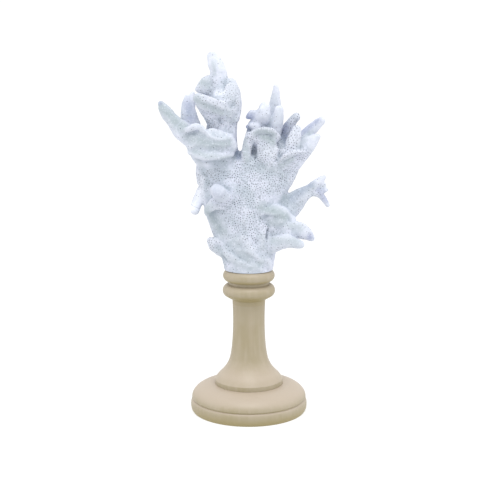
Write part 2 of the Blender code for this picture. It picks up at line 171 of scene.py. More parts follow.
TRUNK = [
    # the slab that carries every branch, round where it stands on the pedestal
    Blade([(0, 0, 148), (-0.5, 0, 170), (-3, 0, 200), (-6, 0, 230), (-3, 0, 256), (-1, 0, 268)],
          [24.5, 29.5, 37.5, 43, 46, 40], [23.5, 22, 19, 18, 15, 9], blunt=1.0),
    Blade([(-22, 0, 222), (-31, 0, 248), (-33, -2, 270), (-31, -3, 292)],
          [16, 21, 19, 16], [12, 12, 12, 9]),
    Blade([(14, 0, 215), (17.5, 0, 240), (25, -1, 262), (30, -2, 280)],
          [20, 23, 26.5, 24], [13, 13, 11, 8]),
    # the full front of the slab, which runs down into a fold on the right
    Blade([(8, -6, 268), (6, -8, 246), (0, -9, 222), (-1, -11, 200), (6, -13, 182)],
          [26, 27, 22, 16, 10], [8, 10, 11, 10, 8], blunt=1.1),
    Blade([(8, -9, 214), (12, -12, 203), (13, -14, 191), (12, -16, 180)],
          [10, 9.5, 9, 7], [7, 7, 7, 6], blunt=1.1),
    # the soft ridges that slant down to the pedestal
    Blade([(-8, -18, 190), (3, -19.5, 178), (13, -17.5, 167), (21, -12.5, 160)],
          [8.5, 8, 7.5, 6], [3.8, 3.6, 3.4, 3], blunt=1.1),
    Blade([(-34, -8, 184), (-22, -14.5, 176), (-10, -18.5, 168), (3, -20.5, 161), (12, -19, 157)],
          [8, 8, 8, 7, 5], [3, 3, 3, 2.8, 2.6], blunt=1.1),
    # the low flange on the left
    Blade([(-18, -4, 176), (-31, -8, 180), (-38, -10, 184), (-41, -10, 186)],
          [13, 10, 7, 4], [8, 5.5, 4.5, 3], face=(-0.3, -1, 0.1), cup=0.15),
]

SIDE_LOBES = [
    # the stub that points at the viewer, with the web under it, and the small finger behind
    Blade([(-22, -6, 229), (-29, -19, 236), (-32, -31, 241)], [12, 9.6, 7.8], [10, 8.2, 6.8],
          face=(0.4, -0.3, 0.9)),
    Blade([(-27, -12, 226), (-36, -17, 225), (-42, -14, 219), (-41, -6, 214)], [8, 7, 5.5, 5],
          [5, 4, 4, 5], face=(-0.4, -0.9, 0.3)),
    Blade([(-38, 4, 242), (-48, 5, 234), (-54, 3, 224), (-56, 0, 216.5)], [9, 7, 6, 5],
          [7, 6, 5.5, 5]),
]

LOWER_LOBES = [
    # the hood that arches over the hollow, and the back of the hollow
    Blade([(10, -7, 216), (17, -12, 219), (25, -14.5, 220), (34, -13, 218), (41, -8, 212)],
          [7, 9, 9.5, 8.5, 6], [4.5, 4.5, 4, 4, 4], face=(0, -0.6, 0.8), blunt=1.1),
    Blade([(18, -8, 209), (27, -10, 209), (36, -9.5, 208), (42, -8, 206)], [12, 12, 10, 8],
          [9, 8.5, 8, 7]),
    # the two fingers under it
    Blade([(20, -7, 196), (35, -12, 198.5), (49, -13, 198), (59, -12, 194), (66, -11, 188)],
          [11, 10.5, 9, 7.5, 3.5], [7, 6, 5.5, 5, 3]),
    Blade([(14, -9, 178), (26, -15, 183), (39, -20, 187), (49, -22, 185), (54, -22, 184)],
          [10, 9, 7, 5.5, 4], [8, 6.5, 5, 5, 4]),
]

MIDDLE_BRANCH = [
    Blade([(28, 0, 212), (45, -1, 223), (55, -3, 232), (65, -4, 239.5), (73, -5, 247),
           (78.5, -5, 252)],
          [16, 12.5, 8.5, 6, 4.5, 2.5], [9, 7, 5.5, 4.5, 3.5, 2.5]),
    Blade([(64, -4, 237), (73, -4, 233.5), (79, -3, 227.5), (82.5, -2, 221.5)],
          [5, 3.8, 3.2, 2.6], [4, 3.5, 3, 2.4]),
    Blade([(70, -4, 236), (76, -6, 237), (81, -7, 239)], [4, 2.8, 1.6], [3.5, 2.5, 1.6]),
    Blade([(68, -4, 240), (76, -5, 243), (79, -6, 244)], [4, 4, 2.5], [3, 2.5, 2]),
]

LEFT_CUP = [
    # the wall that swells towards the viewer, its rolled lower lip and its wavy rims
    Blade([(-19, -9, 283), (-29, -16.5, 286), (-43, -22, 288), (-54, -20, 290), (-62, -14, 294)],
          [10, 12.5, 14, 13, 9], [7, 6, 5.5, 5.5, 5], face=(-0.1, -1, -0.15), cup=0.05, blunt=1.0),
    Blade([(-59, -17, 281), (-52, -23, 278), (-41, -25, 276.5), (-28, -19, 277), (-18, -10, 278)],
          [5.5, 6, 6, 6, 5.5], [3.2, 3.2, 3.2, 3.2, 3.2], face=(0, -0.9, 0.45), blunt=1.1),
    Blade([(-67, -16, 300), (-60, -24, 302.5), (-54, -28, 306), (-48, -28, 304.5), (-43, -25, 297)],
          [3.5, 3.5, 3.5, 3.5, 3], [2.3, 2.4, 2.4, 2.4, 2.4]),
    Blade([(-44, -24, 299), (-36, -22, 300), (-26, -16, 296), (-18, -10, 293)],
          [3.5, 4, 4, 3.5], [2.4, 2.5, 2.5, 2.5]),
    Blade([(-30, -4, 270), (-45, -9, 275), (-55, -11, 284)], [13, 13, 9], [10, 8, 6]),
]

LEFT_FINGER = [
    Blade([(-54, -14, 289), (-68, -13, 300.5), (-78, -11, 311), (-85.5, -10, 320.5),
           (-90, -9, 328)],
          [10.5, 9.8, 7.3, 6.4, 3.6], [5.5, 5, 5, 4.5, 3], end_face=(-0.3, -1, 0)),
]

SECOND_FINGER = [
    Blade([(-55, -6, 285), (-58, -4, 299), (-61, -2, 312), (-63, 0, 325), (-63, 1, 334)],
          [9, 10, 9, 6.8, 3.8], [6, 5, 4.5, 4, 3], end_face=(0.3, -1, 0)),
    Blade([(-61, 0, 316), (-58.5, 1, 330), (-58, 2, 337)], [5, 4.4, 3], [3.5, 3.5, 3]),
]

CROWN = [
    Blade([(-28, -3, 278), (-28, -4, 300), (-25.5, -6, 316), (-21.5, -6, 331), (-19, -4, 343),
           (-18, -3, 349)],
          [17, 16, 15.5, 13.5, 10, 6], [10, 8.5, 8, 7.5, 6, 4.5], face=(0.05, -1, 0), cup=-0.15),
    # the knob in front, the small one on its right and the shelf that leans out on the left
    Blade([(-19.5, -8, 318), (-17.5, -12.5, 333), (-17.5, -13.5, 345)], [10, 9.5, 6.5], [7, 6.5, 5],
          face=(0.1, -1, 0.15), blunt=1.0),
    Blade([(-38, -8, 324), (-29, -11, 329), (-20, -12, 334)], [8, 10, 9], [6, 7, 6],
          face=(0, -0.6, 0.8)),
    Blade([(-14, -6, 312), (-12, -7, 326), (-12.5, -5, 341)], [4.5, 5, 4], [6, 5, 4]),
    Blade([(-18, -9, 317), (-31, -15, 321), (-43, -20, 327.5), (-53, -20, 334.5)],
          [11, 12, 10, 6], [6, 5.5, 5, 3.5], face=(-0.15, -0.85, -0.5), blunt=1.0),
    Blade([(-30, -5, 294), (-34.5, -8, 307), (-41.5, -13, 318), (-49.5, -16, 328.5)],
          [10, 7.8, 6.6, 5.5], [7, 6, 5, 4]),
    # the flap behind on the left, and the ones that close the crown at the back
    Blade([(-30, -1, 343), (-40, 1, 346), (-47.5, 4, 344), (-53, 7, 341)], [13, 11, 8, 3.5],
          [4.5, 4, 3.5, 2.5], face=(-0.3, -1, 0.1)),
    Blade([(-36, 2, 322), (-44, 12, 332), (-48, 17, 342)], [10, 8, 5], [6, 4.5, 3],
          face=(-0.5, 0.8, 0.2)),
    Blade([(-22, 2, 310), (-18, 14, 325), (-17, 21, 338)], [11, 8, 5], [7, 5, 3.5],
          face=(0.3, 1, 0.3)),
]

TOP_FINGER = [
    Blade([(-29, -2, 330), (-30, -1, 350), (-31.5, 0, 360), (-35, 1, 369.5), (-38.8, 2, 377)],
          [9, 8.5, 8.8, 7.8, 4.8], [7, 5.5, 5, 4.5, 3], end_face=(-0.2, -1, 0.1)),
]

RIGHT_FORK = [
    # the thin pillar left of the slot, the wall behind it and the hooded lobe on the right
    Blade([(-3.5, -6, 260), (-3, -10, 274), (-1, -12, 286), (2, -14, 296)], [5.6, 5.6, 5.5, 5.5],
          [7, 5, 4, 3.5], face=(-0.35, -1, 0), blunt=1.0),
    Blade([(-4, 1, 262), (-2, 3, 279), (2, 5, 293), (6, 6, 305)], [6, 5.5, 6, 7], [7, 6, 5.5, 5]),
    Blade([(22, -5, 256), (20, -10, 272), (18.5, -13, 284), (18, -14, 293)],
          [13.5, 11.5, 10.5, 9.5], [9, 7, 6, 5], blunt=0.7),
    Blade([(12, -7, 262), (12, -10, 276), (12.5, -12, 291)], [5, 4.5, 5], [7, 6, 5], blunt=0.7),
    Blade([(0, -11, 290), (6.5, -16, 294.5), (14.5, -18, 297), (22, -16.5, 296.5), (28, -10, 293)],
          [6, 8, 8.5, 7.5, 5.5], [3.5, 4, 4.5, 4.2, 4], face=(0, -0.85, -0.5), blunt=1.1),
    # the body behind them
    Blade([(6, 6, 264), (7, 9, 284), (9, 9, 300)], [12, 10, 9.5], [10, 8, 8]),
    Blade([(24, 4, 262), (26, 7, 278), (27, 8, 290)], [20, 15, 10], [9, 7, 6]),
    # the lobe on the right of the hollow, and the fold under it
    Blade([(40, -4, 264), (43, -9, 279), (46.5, -11, 292), (49, -10, 302)],
          [10, 8, 7, 4.8], [7, 5.5, 5, 4]),
    Blade([(28, -8, 263), (36, -12.5, 270), (45, -13, 275), (55, -8, 278)], [4, 6, 6, 4.5],
          [3, 3.5, 3.5, 3.5], face=(0.1, -0.85, -0.4), blunt=1.1),
    # the finger that stands at the back of the hollow
    Blade([(34, 14, 274), (38, 13, 292), (44, 8, 306), (49.5, 3, 314.3)], [9, 8, 6, 4.6],
          [5, 4.5, 4, 3.8],
          face=(-0.5, -0.85, 0.1)),
]

OUTER_FINGERS = [
    Blade([(38, -1, 264), (51, -3, 276), (61, -4, 285.5), (71, -4, 293.5)], [14, 11.5, 9, 4],
          [8, 6, 5, 3.2]),
    Blade([(48, 2, 280), (57, 3, 293), (67, 3, 302.5), (76, 2, 310)], [8, 6.5, 6.3, 4.2],
          [6, 4.5, 4, 3], end_face=(0.2, -1, 0.1)),
]

KNOB_BRANCH = [
    Blade([(8, 8, 285), (10, 7, 303), (14.5, 2, 314), (16.5, 1, 323.5)], [10, 9.5, 8.5, 6],
          [9, 8, 7, 5.5]),
    Blade([(22, 6, 290), (28, 2, 303), (30.5, 0, 314), (31, -1, 321.5)], [9, 7, 6, 4.6],
          [8, 6.5, 5.5, 4.5]),
    Blade([(11, 5, 313), (4, 4, 315.5), (-1.5, 3, 313)], [8, 5.5, 2.4], [4.5, 3, 2.2],
          face=(-0.2, -1, -0.2)),
    Blade([(8, 0, 302), (2, -1, 304), (-2, 0, 303)], [6, 4, 2], [5, 3.5, 2.2]),
    # the tall finger and a shorter one behind it
    Blade([(20, 10, 290), (24.5, 15, 308), (27, 16, 322), (28, 16, 334), (28, 15, 344)],
          [9, 8.5, 7.2, 5, 2.8], [6, 5.5, 5, 4, 2.6]),
    Blade([(12, 10, 296), (12, 20, 308), (14, 26, 318)], [9, 7, 4], [6, 5, 3.5], face=(0, 1, 0.3)),
]

BACK_LEFT = [
    Blade([(-18, 6, 222), (-28, 20, 244), (-34, 31, 262), (-35, 37, 278)], [18, 14, 11, 6],
          [9, 7.5, 6, 4], face=(-0.2, 1, 0.2)),
    Blade([(-28, 20, 242), (-42, 29, 253), (-51, 33, 264)], [10, 8, 4], [6, 5, 3.5],
          face=(-0.4, 1, 0)),
    Blade([(-26, 18, 232), (-36, 32, 232), (-42, 40, 238)], [9, 7, 4.5], [6, 5, 4],
          face=(0, 0.5, 1)),
]

BACK_RIGHT = [
    Blade([(16, 6, 220), (24, 22, 240), (27, 34, 256), (24, 41, 270)], [17, 14, 10.5, 6],
          [9, 7.5, 6, 4], face=(0.2, 1, 0.2)),
    Blade([(24, 20, 236), (36, 29, 244), (44, 33, 253)], [10, 8, 4.5], [6, 5, 3.5],
          face=(0.5, 1, 0)),
    Blade([(4, 10, 180), (8, 24, 192), (10, 33, 205)], [15, 11, 6], [8, 6, 4], face=(0, 1, 0.5)),
]

FORKS: dict[str, Fork] = {
    "coral_top_finger": Fork((-31, -1, 359), (-0.05, 0, 1), (12, 9), (-36, 1, 371)),
    "coral_left_finger": Fork((-73.4, -13.4, 305.8), (-0.72, 0, 0.69), (10, 6.5), (-84, -10, 319)),
    "coral_second_finger": Fork((-61.7, -2.2, 316), (-0.15, 0, 1), (9.5, 6.5), (-63, 0, 328)),
    "coral_crown": Fork((-27.6, -4, 306.3), (0.1, 0, 1), (17.5, 14), (-20, -6, 330)),
    "coral_left_fork": Fork((-32, -8, 274), (-0.26, 0, 0.96), (25, 26), (-44, -24, 288)),
    "coral_third_finger": Fork((38.9, 10.8, 296.7), (0.52, -0.2, 0.83), (9, 8), (46, 6, 309)),
    "coral_knob_branch": Fork((15.5, 9, 304), (0.1, 0, 1), (21, 16), (14, 2, 314)),
    "coral_outer_fingers": Fork((58.5, -0.6, 286), (0.75, 0, 0.66), (14, 11), (65, 3, 300)),
    "coral_right_fork": Fork((23.2, -0.4, 270.7), (0.3, 0, 0.95), (33.5, 19), (45, -10, 290)),
    "coral_middle_branch": Fork((50.2, -2, 228), (0.72, 0, 0.69), (12, 9), (65, -4, 239)),
    "coral_lower_finger": Fork((50.5, -12.5, 198), (1, -0.1, 0), (11, 8), (59, -12, 194)),
    "coral_side_stub": Fork((-30.5, -21, 237.5), (-0.25, -0.95, 0.2), (12, 13), (-33, -33, 241)),
    "coral_side_finger": Fork((-55.6, 2, 220.3), (-0.4, 0, -0.9), (7.5, 8), (-56, 0, 216)),
    "coral_back_left": Fork((-27, 22, 243), (-0.3, 0.8, 0.5), (20, 17), (-34, 31, 262)),
    "coral_back_right": Fork((24, 21, 240), (0.25, 0.85, 0.45), (17, 14), (27, 34, 256)),
}

BRANCHES: list[Branch] = [
    Branch("trunk", TRUNK, 0.9, 1.0),
    Branch("side lobes", SIDE_LOBES, 0.85, 0.0),
    Branch("lower lobes", LOWER_LOBES, 0.8, 0.1),
    Branch("middle branch", MIDDLE_BRANCH, 0.9, 0.0),
    Branch("left cup", LEFT_CUP, 0.35, 0.15),
    Branch("left finger", LEFT_FINGER, 0.25, 0.0),
    Branch("second finger", SECOND_FINGER, 0.1, 0.0),
    Branch("crown", CROWN, 0.8, 0.6),
    Branch("top finger", TOP_FINGER, 0.4, 0.1),
    Branch("right fork", RIGHT_FORK, 1.0, 0.8),
    Branch("outer fingers", OUTER_FINGERS, 0.3, 0.0),
    Branch("knob branch", KNOB_BRANCH, 0.5, 0.15),
    Branch("back left", BACK_LEFT, 0.7, 0.1),
    Branch("back right", BACK_RIGHT, 0.7, 0.1),
]

# where the surface is raised and cut in
STROKES: list[Stroke] = [
    # the cup's folds
    Stroke([(-45, -29, 301.5), (-40, -27.5, 296), (-34, -26, 293), (-26, -23, 292),
            (-18, -16.5, 293.5)], 3.2, 1.4),
    Stroke([(-59.5, -22.5, 284.5), (-52.5, -26, 288), (-44.5, -27, 286), (-35, -25.5, 288),
            (-25, -22, 285.5), (-18, -17.5, 287)], 3.2, 0.7),
    Stroke([(-62, -20.5, 291.5), (-52.5, -27, 293), (-43.5, -27.5, 290), (-33, -25.5, 290)],
           3.2, -0.3),
    Stroke([(-57.5, -23.5, 282.5), (-46.5, -26, 282), (-34.5, -24.5, 283), (-21, -18.5, 283)],
           3, -0.25),
    Stroke([(-60.5, -22, 298), (-53.5, -25.5, 298), (-47.5, -27.5, 295)], 5, -1.3),
    # the crown's creases and the rim of its shelf
    Stroke([(-21.5, -3, 353.5), (-24.5, -7, 347.5), (-26, -11, 341.5)], 2.2, -0.6),
    Stroke([(-45, -25, 336), (-38, -24.5, 334), (-31, -23.5, 331), (-24, -21, 328)], 2.4, 1.3),
    Stroke([(-46, -25, 328), (-39, -24, 325), (-31, -22, 322), (-24, -19.5, 319)], 5, -1.1),
    Stroke([(-30.5, -14, 311.5), (-29.5, -13, 304)], 2.6, -0.8),
    Stroke([(-37.5, -16, 311.5), (-36.5, -14, 305.5)], 2.2, -1.0),
    Stroke([(-20, -15.5, 314.5), (-21.5, -11, 304), (-23, -20, 294.5)], 2.2, 1.0),
    Stroke([(-13, -17.5, 336), (-15, -17, 327.5), (-19, -19, 323)], 2.4, -0.8),
    # the slot and the hood beside it
    Stroke([(-10, -8, 274), (-9, -5, 284)], 5, -2.5),
    Stroke([(6.5, -12, 287), (6, -12, 280), (6.5, -13, 273.5)], 1.9, -8.0),
    Stroke([(2, -19, 295.5), (5.5, -21, 299.5), (11.5, -23.5, 303), (18.5, -23.5, 304),
            (25.5, -19.5, 301.5), (27.5, -18.5, 298.5)], 2.4, 1.6),
    Stroke([(8.5, -20.5, 296.5), (15.5, -23, 297), (22.5, -21, 295)], 6.0, -3.4),
    # the leaf on the right
    Stroke([(32, -15, 269.5), (36, -16.5, 275), (43, -17.5, 278), (51.5, -14.5, 279),
            (57.5, -10, 278.5)], 2.4, 2.2),
    Stroke([(36, -15, 267.5), (43, -16, 272), (51.5, -13.5, 274.5)], 4.2, -2.6),
    Stroke([(36, -11.5, 261), (44.5, -10.5, 264), (52.5, -8.5, 270)], 2.2, 0.9),
    Stroke([(27, -15, 269.5), (33, -15.5, 270.5)], 2.2, -1.4),
    # the trunk's hollow, its slit and the ledge over it
    Stroke([(-42, -19, 221.5), (-38.5, -10, 209.5), (-31, -12.5, 199.5)], 10, -1.6),
    Stroke([(20, -17.5, 198), (18.5, -19, 190)], 1.9, -4.0),
    Stroke([(22, -16, 207.5), (20, -17.5, 199.5)], 2.6, -0.8),
    Stroke([(17.5, -16.5, 213), (24, -24, 217), (32, -22, 218), (39.5, -18, 214),
            (42.5, -15.5, 207.5)], 4.0, -1.3),
    Stroke([(24, -15, 209), (32, -15, 208)], 8, 2.0),
    Stroke([(-6, -20, 207), (-2, -21.5, 188.5), (1, -22.5, 176)], 7, 1.0),
    # the trunk's left edge and the valley behind the hood
    Stroke([(-52, -2, 264), (-53, 0, 252), (-52, 2, 243)], 12, 2.2),
    Stroke([(28, -15, 281), (33, -13, 279)], 6, 1.8),
    # the ridges above the pedestal
    Stroke([(13.5, -20, 165), (6.5, -22, 172), (-2, -22.5, 177), (-11, -20, 177.5)], 4, 1.3),
    Stroke([(-17.5, -19, 175.5), (-9, -21, 169.5), (1, -23, 164.5)], 3.5, -1.1),
    Stroke([(-36, -14.5, 187), (-30, -14.5, 176.5), (-23, -13.5, 164)], 3.5, -1.1),
]

# painted tones along strokes: slate and purple painted shade under rims, in hollows and slots, and
# pale painted highlights on lit lobes
PAINTED_TONES: dict[Tone, list[Stroke]] = {
    # slate painted shade under the rims and lips, in the hollows and on faces that turn down, and a
    # slate tone on some lobes
    Tone.GREY: [
        Stroke([(-63, -19.5, 294.5), (-49.5, -26.5, 291), (-34.5, -25.5, 286), (-21, -20, 288.5)],
               10, 0.9),
        Stroke([(-53, -23.5, 333), (-41, -23, 326), (-27, -19.5, 319)], 8, 0.9),
        Stroke([(-88.5, -13, 324.5), (-78, -15.5, 314.5), (-68, -17.5, 304.5)], 11, 1.2),
        Stroke([(-50, -16, 270.5), (-25.5, -13.5, 269.5)], 7, 0.6),
        Stroke([(-47, -12, 262), (-43, -10, 245)], 9, 0.25),
        Stroke([(-48, 1, 349), (-43, -1.5, 347)], 9, 0.9),
        Stroke([(-36.5, -3.5, 369.5), (-34.5, -5, 357.5)], 4.5, 0.6),
        Stroke([(7.5, -21.5, 299), (17.5, -23, 300), (25.5, -18.5, 295.5)], 7, 1.0),
        Stroke([(-2, -15.5, 284), (-3, -15, 273.5)], 6, 0.8),
        Stroke([(34, -13.5, 265.5), (44, -14.5, 271.5)], 8, 0.9),
        Stroke([(13.5, -20.5, 295.5), (19.5, -19.5, 293.5), (24.5, -18, 289.5)], 7, 1.2),
        Stroke([(56, -5, 292.5), (63, -1, 297)], 6, 0.6),
        Stroke([(56.5, -7.5, 290.5), (50.5, -13.5, 284)], 6, 0.5),
        Stroke([(-44, -16, 219), (-36.5, -8.5, 207.5), (-28, -13, 195.5)], 13, 1.0),
        Stroke([(23, -16, 206.5), (35.5, -15.5, 206.5)], 9, 0.9),
        Stroke([(13.5, -17.5, 221.5), (27, -20.5, 218.5), (37.5, -17.5, 211)], 10, 1.2),
        Stroke([(-14.5, -19.5, 188), (-7, -21.5, 176), (1, -22, 165.5)], 12, 0.7),
        Stroke([(-54.5, -25, 280), (-41.5, -28.5, 276), (-27.5, -23, 273.5), (-15, -9, 273)],
               6, 0.8),
        Stroke([(-4, -14.5, 291), (-5, -14.5, 281), (-2, -14.5, 270.5)], 5, 0.9),
        Stroke([(24, -20, 188), (37.5, -24.5, 188), (49.5, -25.5, 188)], 8, 0.7),
        Stroke([(37.5, -6.5, 228), (46, -6.5, 233.5), (55, -7, 238.5), (64.5, -7.5, 243)], 9, 0.9),
        Stroke([(42.5, -18, 203.5), (53, -17.5, 200.5)], 7, 0.6),
        Stroke([(13.5, -14, 262.5), (32, -12.5, 260)], 9, 0.5),
        Stroke([(-34, -13, 176.5), (-17.5, -19, 165)], 8, 0.5),
        Stroke([(13.5, -21, 192.5), (15.5, -21, 182)], 7, 0.4),
        Stroke([(-23, -20, 322), (-17, -12, 311)], 9, 0.5),
        Stroke([(-13.5, -19.5, 190), (-3, -22, 169.5)], 10, 0.4),
        Stroke([(-14.5, -20.5, 165), (0, -23, 159), (13.5, -20.5, 165)], 9, 0.6),
    ],
    # purple painted shade in the slot, the crotches and recesses and on faces turned from the
    # light, and a faint purple tint on the stub's end
    Tone.VIOLET: [
        Stroke([(-63.5, -4, 327), (-59.5, -6, 314)], 11, 0.45),
        Stroke([(-90.5, -12, 328.5)], 4, 0.5),
        Stroke([(-11, -5, 277), (-8, -3, 289), (-3, -1, 304)], 8, 0.9),
        Stroke([(58, -0.5, 299), (64, -0.5, 304.5), (71.5, -0.5, 310.5)], 5, 0.6),
        Stroke([(-10, -8, 274), (-9, -5, 284)], 7, 1.0),
        Stroke([(0, 1, 313.5)], 9, 0.9),
        Stroke([(34.5, 8, 293), (37.5, 8, 302.5)], 10, 0.6),
        Stroke([(53, -2, 299), (59, 0, 306)], 6.5, 1.0),
        Stroke([(-34, -36.5, 244.5), (-31, -36.5, 236.5)], 12, 0.22),
        Stroke([(72.5, -7.5, 238.5), (79, -5.5, 228)], 5, 0.5),
        Stroke([(63.5, -15, 190.5)], 7, 0.7),
        Stroke([(77, -8, 238.5), (81.5, -4.5, 226.5)], 4, 0.5),
        Stroke([(64.5, -8, 243)], 3, 0.5),
        Stroke([(45, -7, 230), (64.5, -7, 245)], 8, 0.35),
    ],
    # pale painted highlights on lit lobes, ledges and knobs
    Tone.BRIGHT: [
        Stroke([(-60.5, -3, 218), (-53, -2.5, 223.5), (-51, -1.5, 235.5)], 10, 1.2),
        Stroke([(-47.5, -9, 251.5), (-47.5, -5, 238.5)], 4, 0.7),
        Stroke([(-27.5, -13, 301), (-19, -14, 296)], 7, 0.4),
        Stroke([(29, -14.5, 281), (35, -11.5, 278.5)], 6, 0.6),
        Stroke([(-42, -17, 262), (-38, -17, 252)], 10, 0.5),
        Stroke([(-32.5, -8.5, 338.5), (-25, -15, 339.5)], 7, 0.9),
        Stroke([(13.5, -3.5, 324)], 4, 0.8),
        Stroke([(19.5, -18.5, 281), (27, -16, 274)], 8, 0.5),
    ],
}


def take_up(piece: Object) -> None:
    """Makes a piece the only selected object and the active one.

    Args:
        piece: The object.
    """
    bpy.ops.object.select_all(action="DESELECT")
    piece.select_set(True)
    bpy.context.view_layer.objects.active = piece


def join(pieces: list[Object]) -> Object:
    """Joins objects into the first one.

    Args:
        pieces: The objects.

    Returns:
        The first one, with the meshes of all.
    """
    take_up(pieces[0])
    for piece in pieces:
        piece.select_set(True)
    bpy.ops.object.join()
    return pieces[0]


def work_in(piece: Object, kind: str, **settings: object) -> None:
    """Adds a modifier to a piece and applies it.

    Args:
        piece: The object that gets it.
        kind: The modifier's type.
        settings: Its settings by name.
    """
    take_up(piece)
    modifier = piece.modifiers.new(kind.lower(), kind)
    for name, value in settings.items():
        setattr(modifier, name, value)
    bpy.ops.object.modifier_apply(modifier=modifier.name)


def read(items: object, name: str, width: int = 1, kind: type = np.float32) -> np.ndarray:
    """Reads one property of all points, edges or faces of a mesh.

    Args:
        items: The points, edges or faces.
        name: The property.
        width: How many numbers each of them has.
        kind: The type of the numbers.

    Returns:
        One number for each of them, or one row where width is above 1.
    """
    values = np.empty(len(items) * width, dtype=kind)
    items.foreach_get(name, values)
    return values.reshape(-1, width) if width > 1 else values


def note(mesh: Mesh, name: str, values: np.ndarray) -> None:
    """Writes one number for each point of a mesh to a new attribute."""
    layer = mesh.attributes.new(name, "FLOAT", "POINT")
    layer.data.foreach_set("value", values.astype(np.float32))


def move(mesh: Mesh, places: np.ndarray) -> None:
    """Moves the points of a mesh to new places."""
    mesh.vertices.foreach_set("co", places.ravel())
    mesh.update()


def neighbours(mesh: Mesh) -> tuple[np.ndarray, np.ndarray]:
    """The points at the start and at the end of every edge of a mesh, taken in both directions."""
    edges = read(mesh.edges, "vertices", 2, np.int64)
    return edges.ravel("F"), edges[:, ::-1].ravel("F")


def note_hollows(piece: Object, rounds: int, full: float) -> None:
    """Notes in the attribute hollow how far each point lies below or above (-) its surroundings.

    Args:
        piece: The piece.
        rounds: How often the surface is softened to find the surroundings.
        full: The depth in millimetres that counts as 1.
    """
    mesh = piece.data
    places = read(mesh.vertices, "co", 3, float) / MM
    normals = read(mesh.vertices, "normal", 3, float)
    ends, others = neighbours(mesh)
    count = np.bincount(ends, minlength=len(places)).clip(1)
    soft = places
    for _ in range(rounds):
        mean = [np.bincount(ends, soft[others, axis], len(places)) / count for axis in range(3)]
        soft = np.stack(mean, axis=1)
    depth = ((soft - places) * normals).sum(1) / full
    note(mesh, "hollow", depth.clip(-1.0, 1.0))


def tree_of(points: Iterable[Vector]) -> KDTree:
    """A search tree of points.

    Args:
        points: The points.

    Returns:
        The tree, which gives each point with its number.
    """
    listed = list(points)
    tree = KDTree(len(listed))
    for number, point in enumerate(listed):
        tree.insert(point, number)
    tree.balance()
    return tree


def closeness(places: np.ndarray, stroke: Stroke) -> np.ndarray:
    """How close each place is to a stroke: 1 on it, and 0 from its reach on.

    Args:
        places: One place on each row, in millimetres.
        stroke: The stroke.

    Returns:
        One value for each place.
    """
    line = np.array(stroke.points)
    nearest = np.full(len(places), stroke.reach)
    for start, end in zip(line, line[1:] if len(line) > 1 else line):
        span = end - start
        share = ((places - start) @ span / max(span @ span, 1e-9)).clip(0.0, 1.0)
        gaps = np.linalg.norm(places - start - share[:, None] * span, axis=1)
        nearest = np.minimum(nearest, gaps)
    return 1.0 - nearest / stroke.reach


def smooth_value(values: list, place: float) -> object:
    """A point or number on the smooth curve through values.

    Args:
        values: Points or numbers at even steps.
        place: Where along them, from 0 at the first to 1 at the last.

    Returns:
        The value there.
    """
    spans = len(values) - 1
    at = min(int(place * spans), spans - 1)
    t = place * spans - at
    before = values[max(at - 1, 0)]
    first, second = values[at], values[at + 1]
    after = values[min(at + 2, spans)]
    return (first * 2 + (second - before) * t
            + (before * 2 - first * 5 + second * 4 - after) * t * t
            + (first * 3 - before - second * 3 + after) * t ** 3) * 0.5


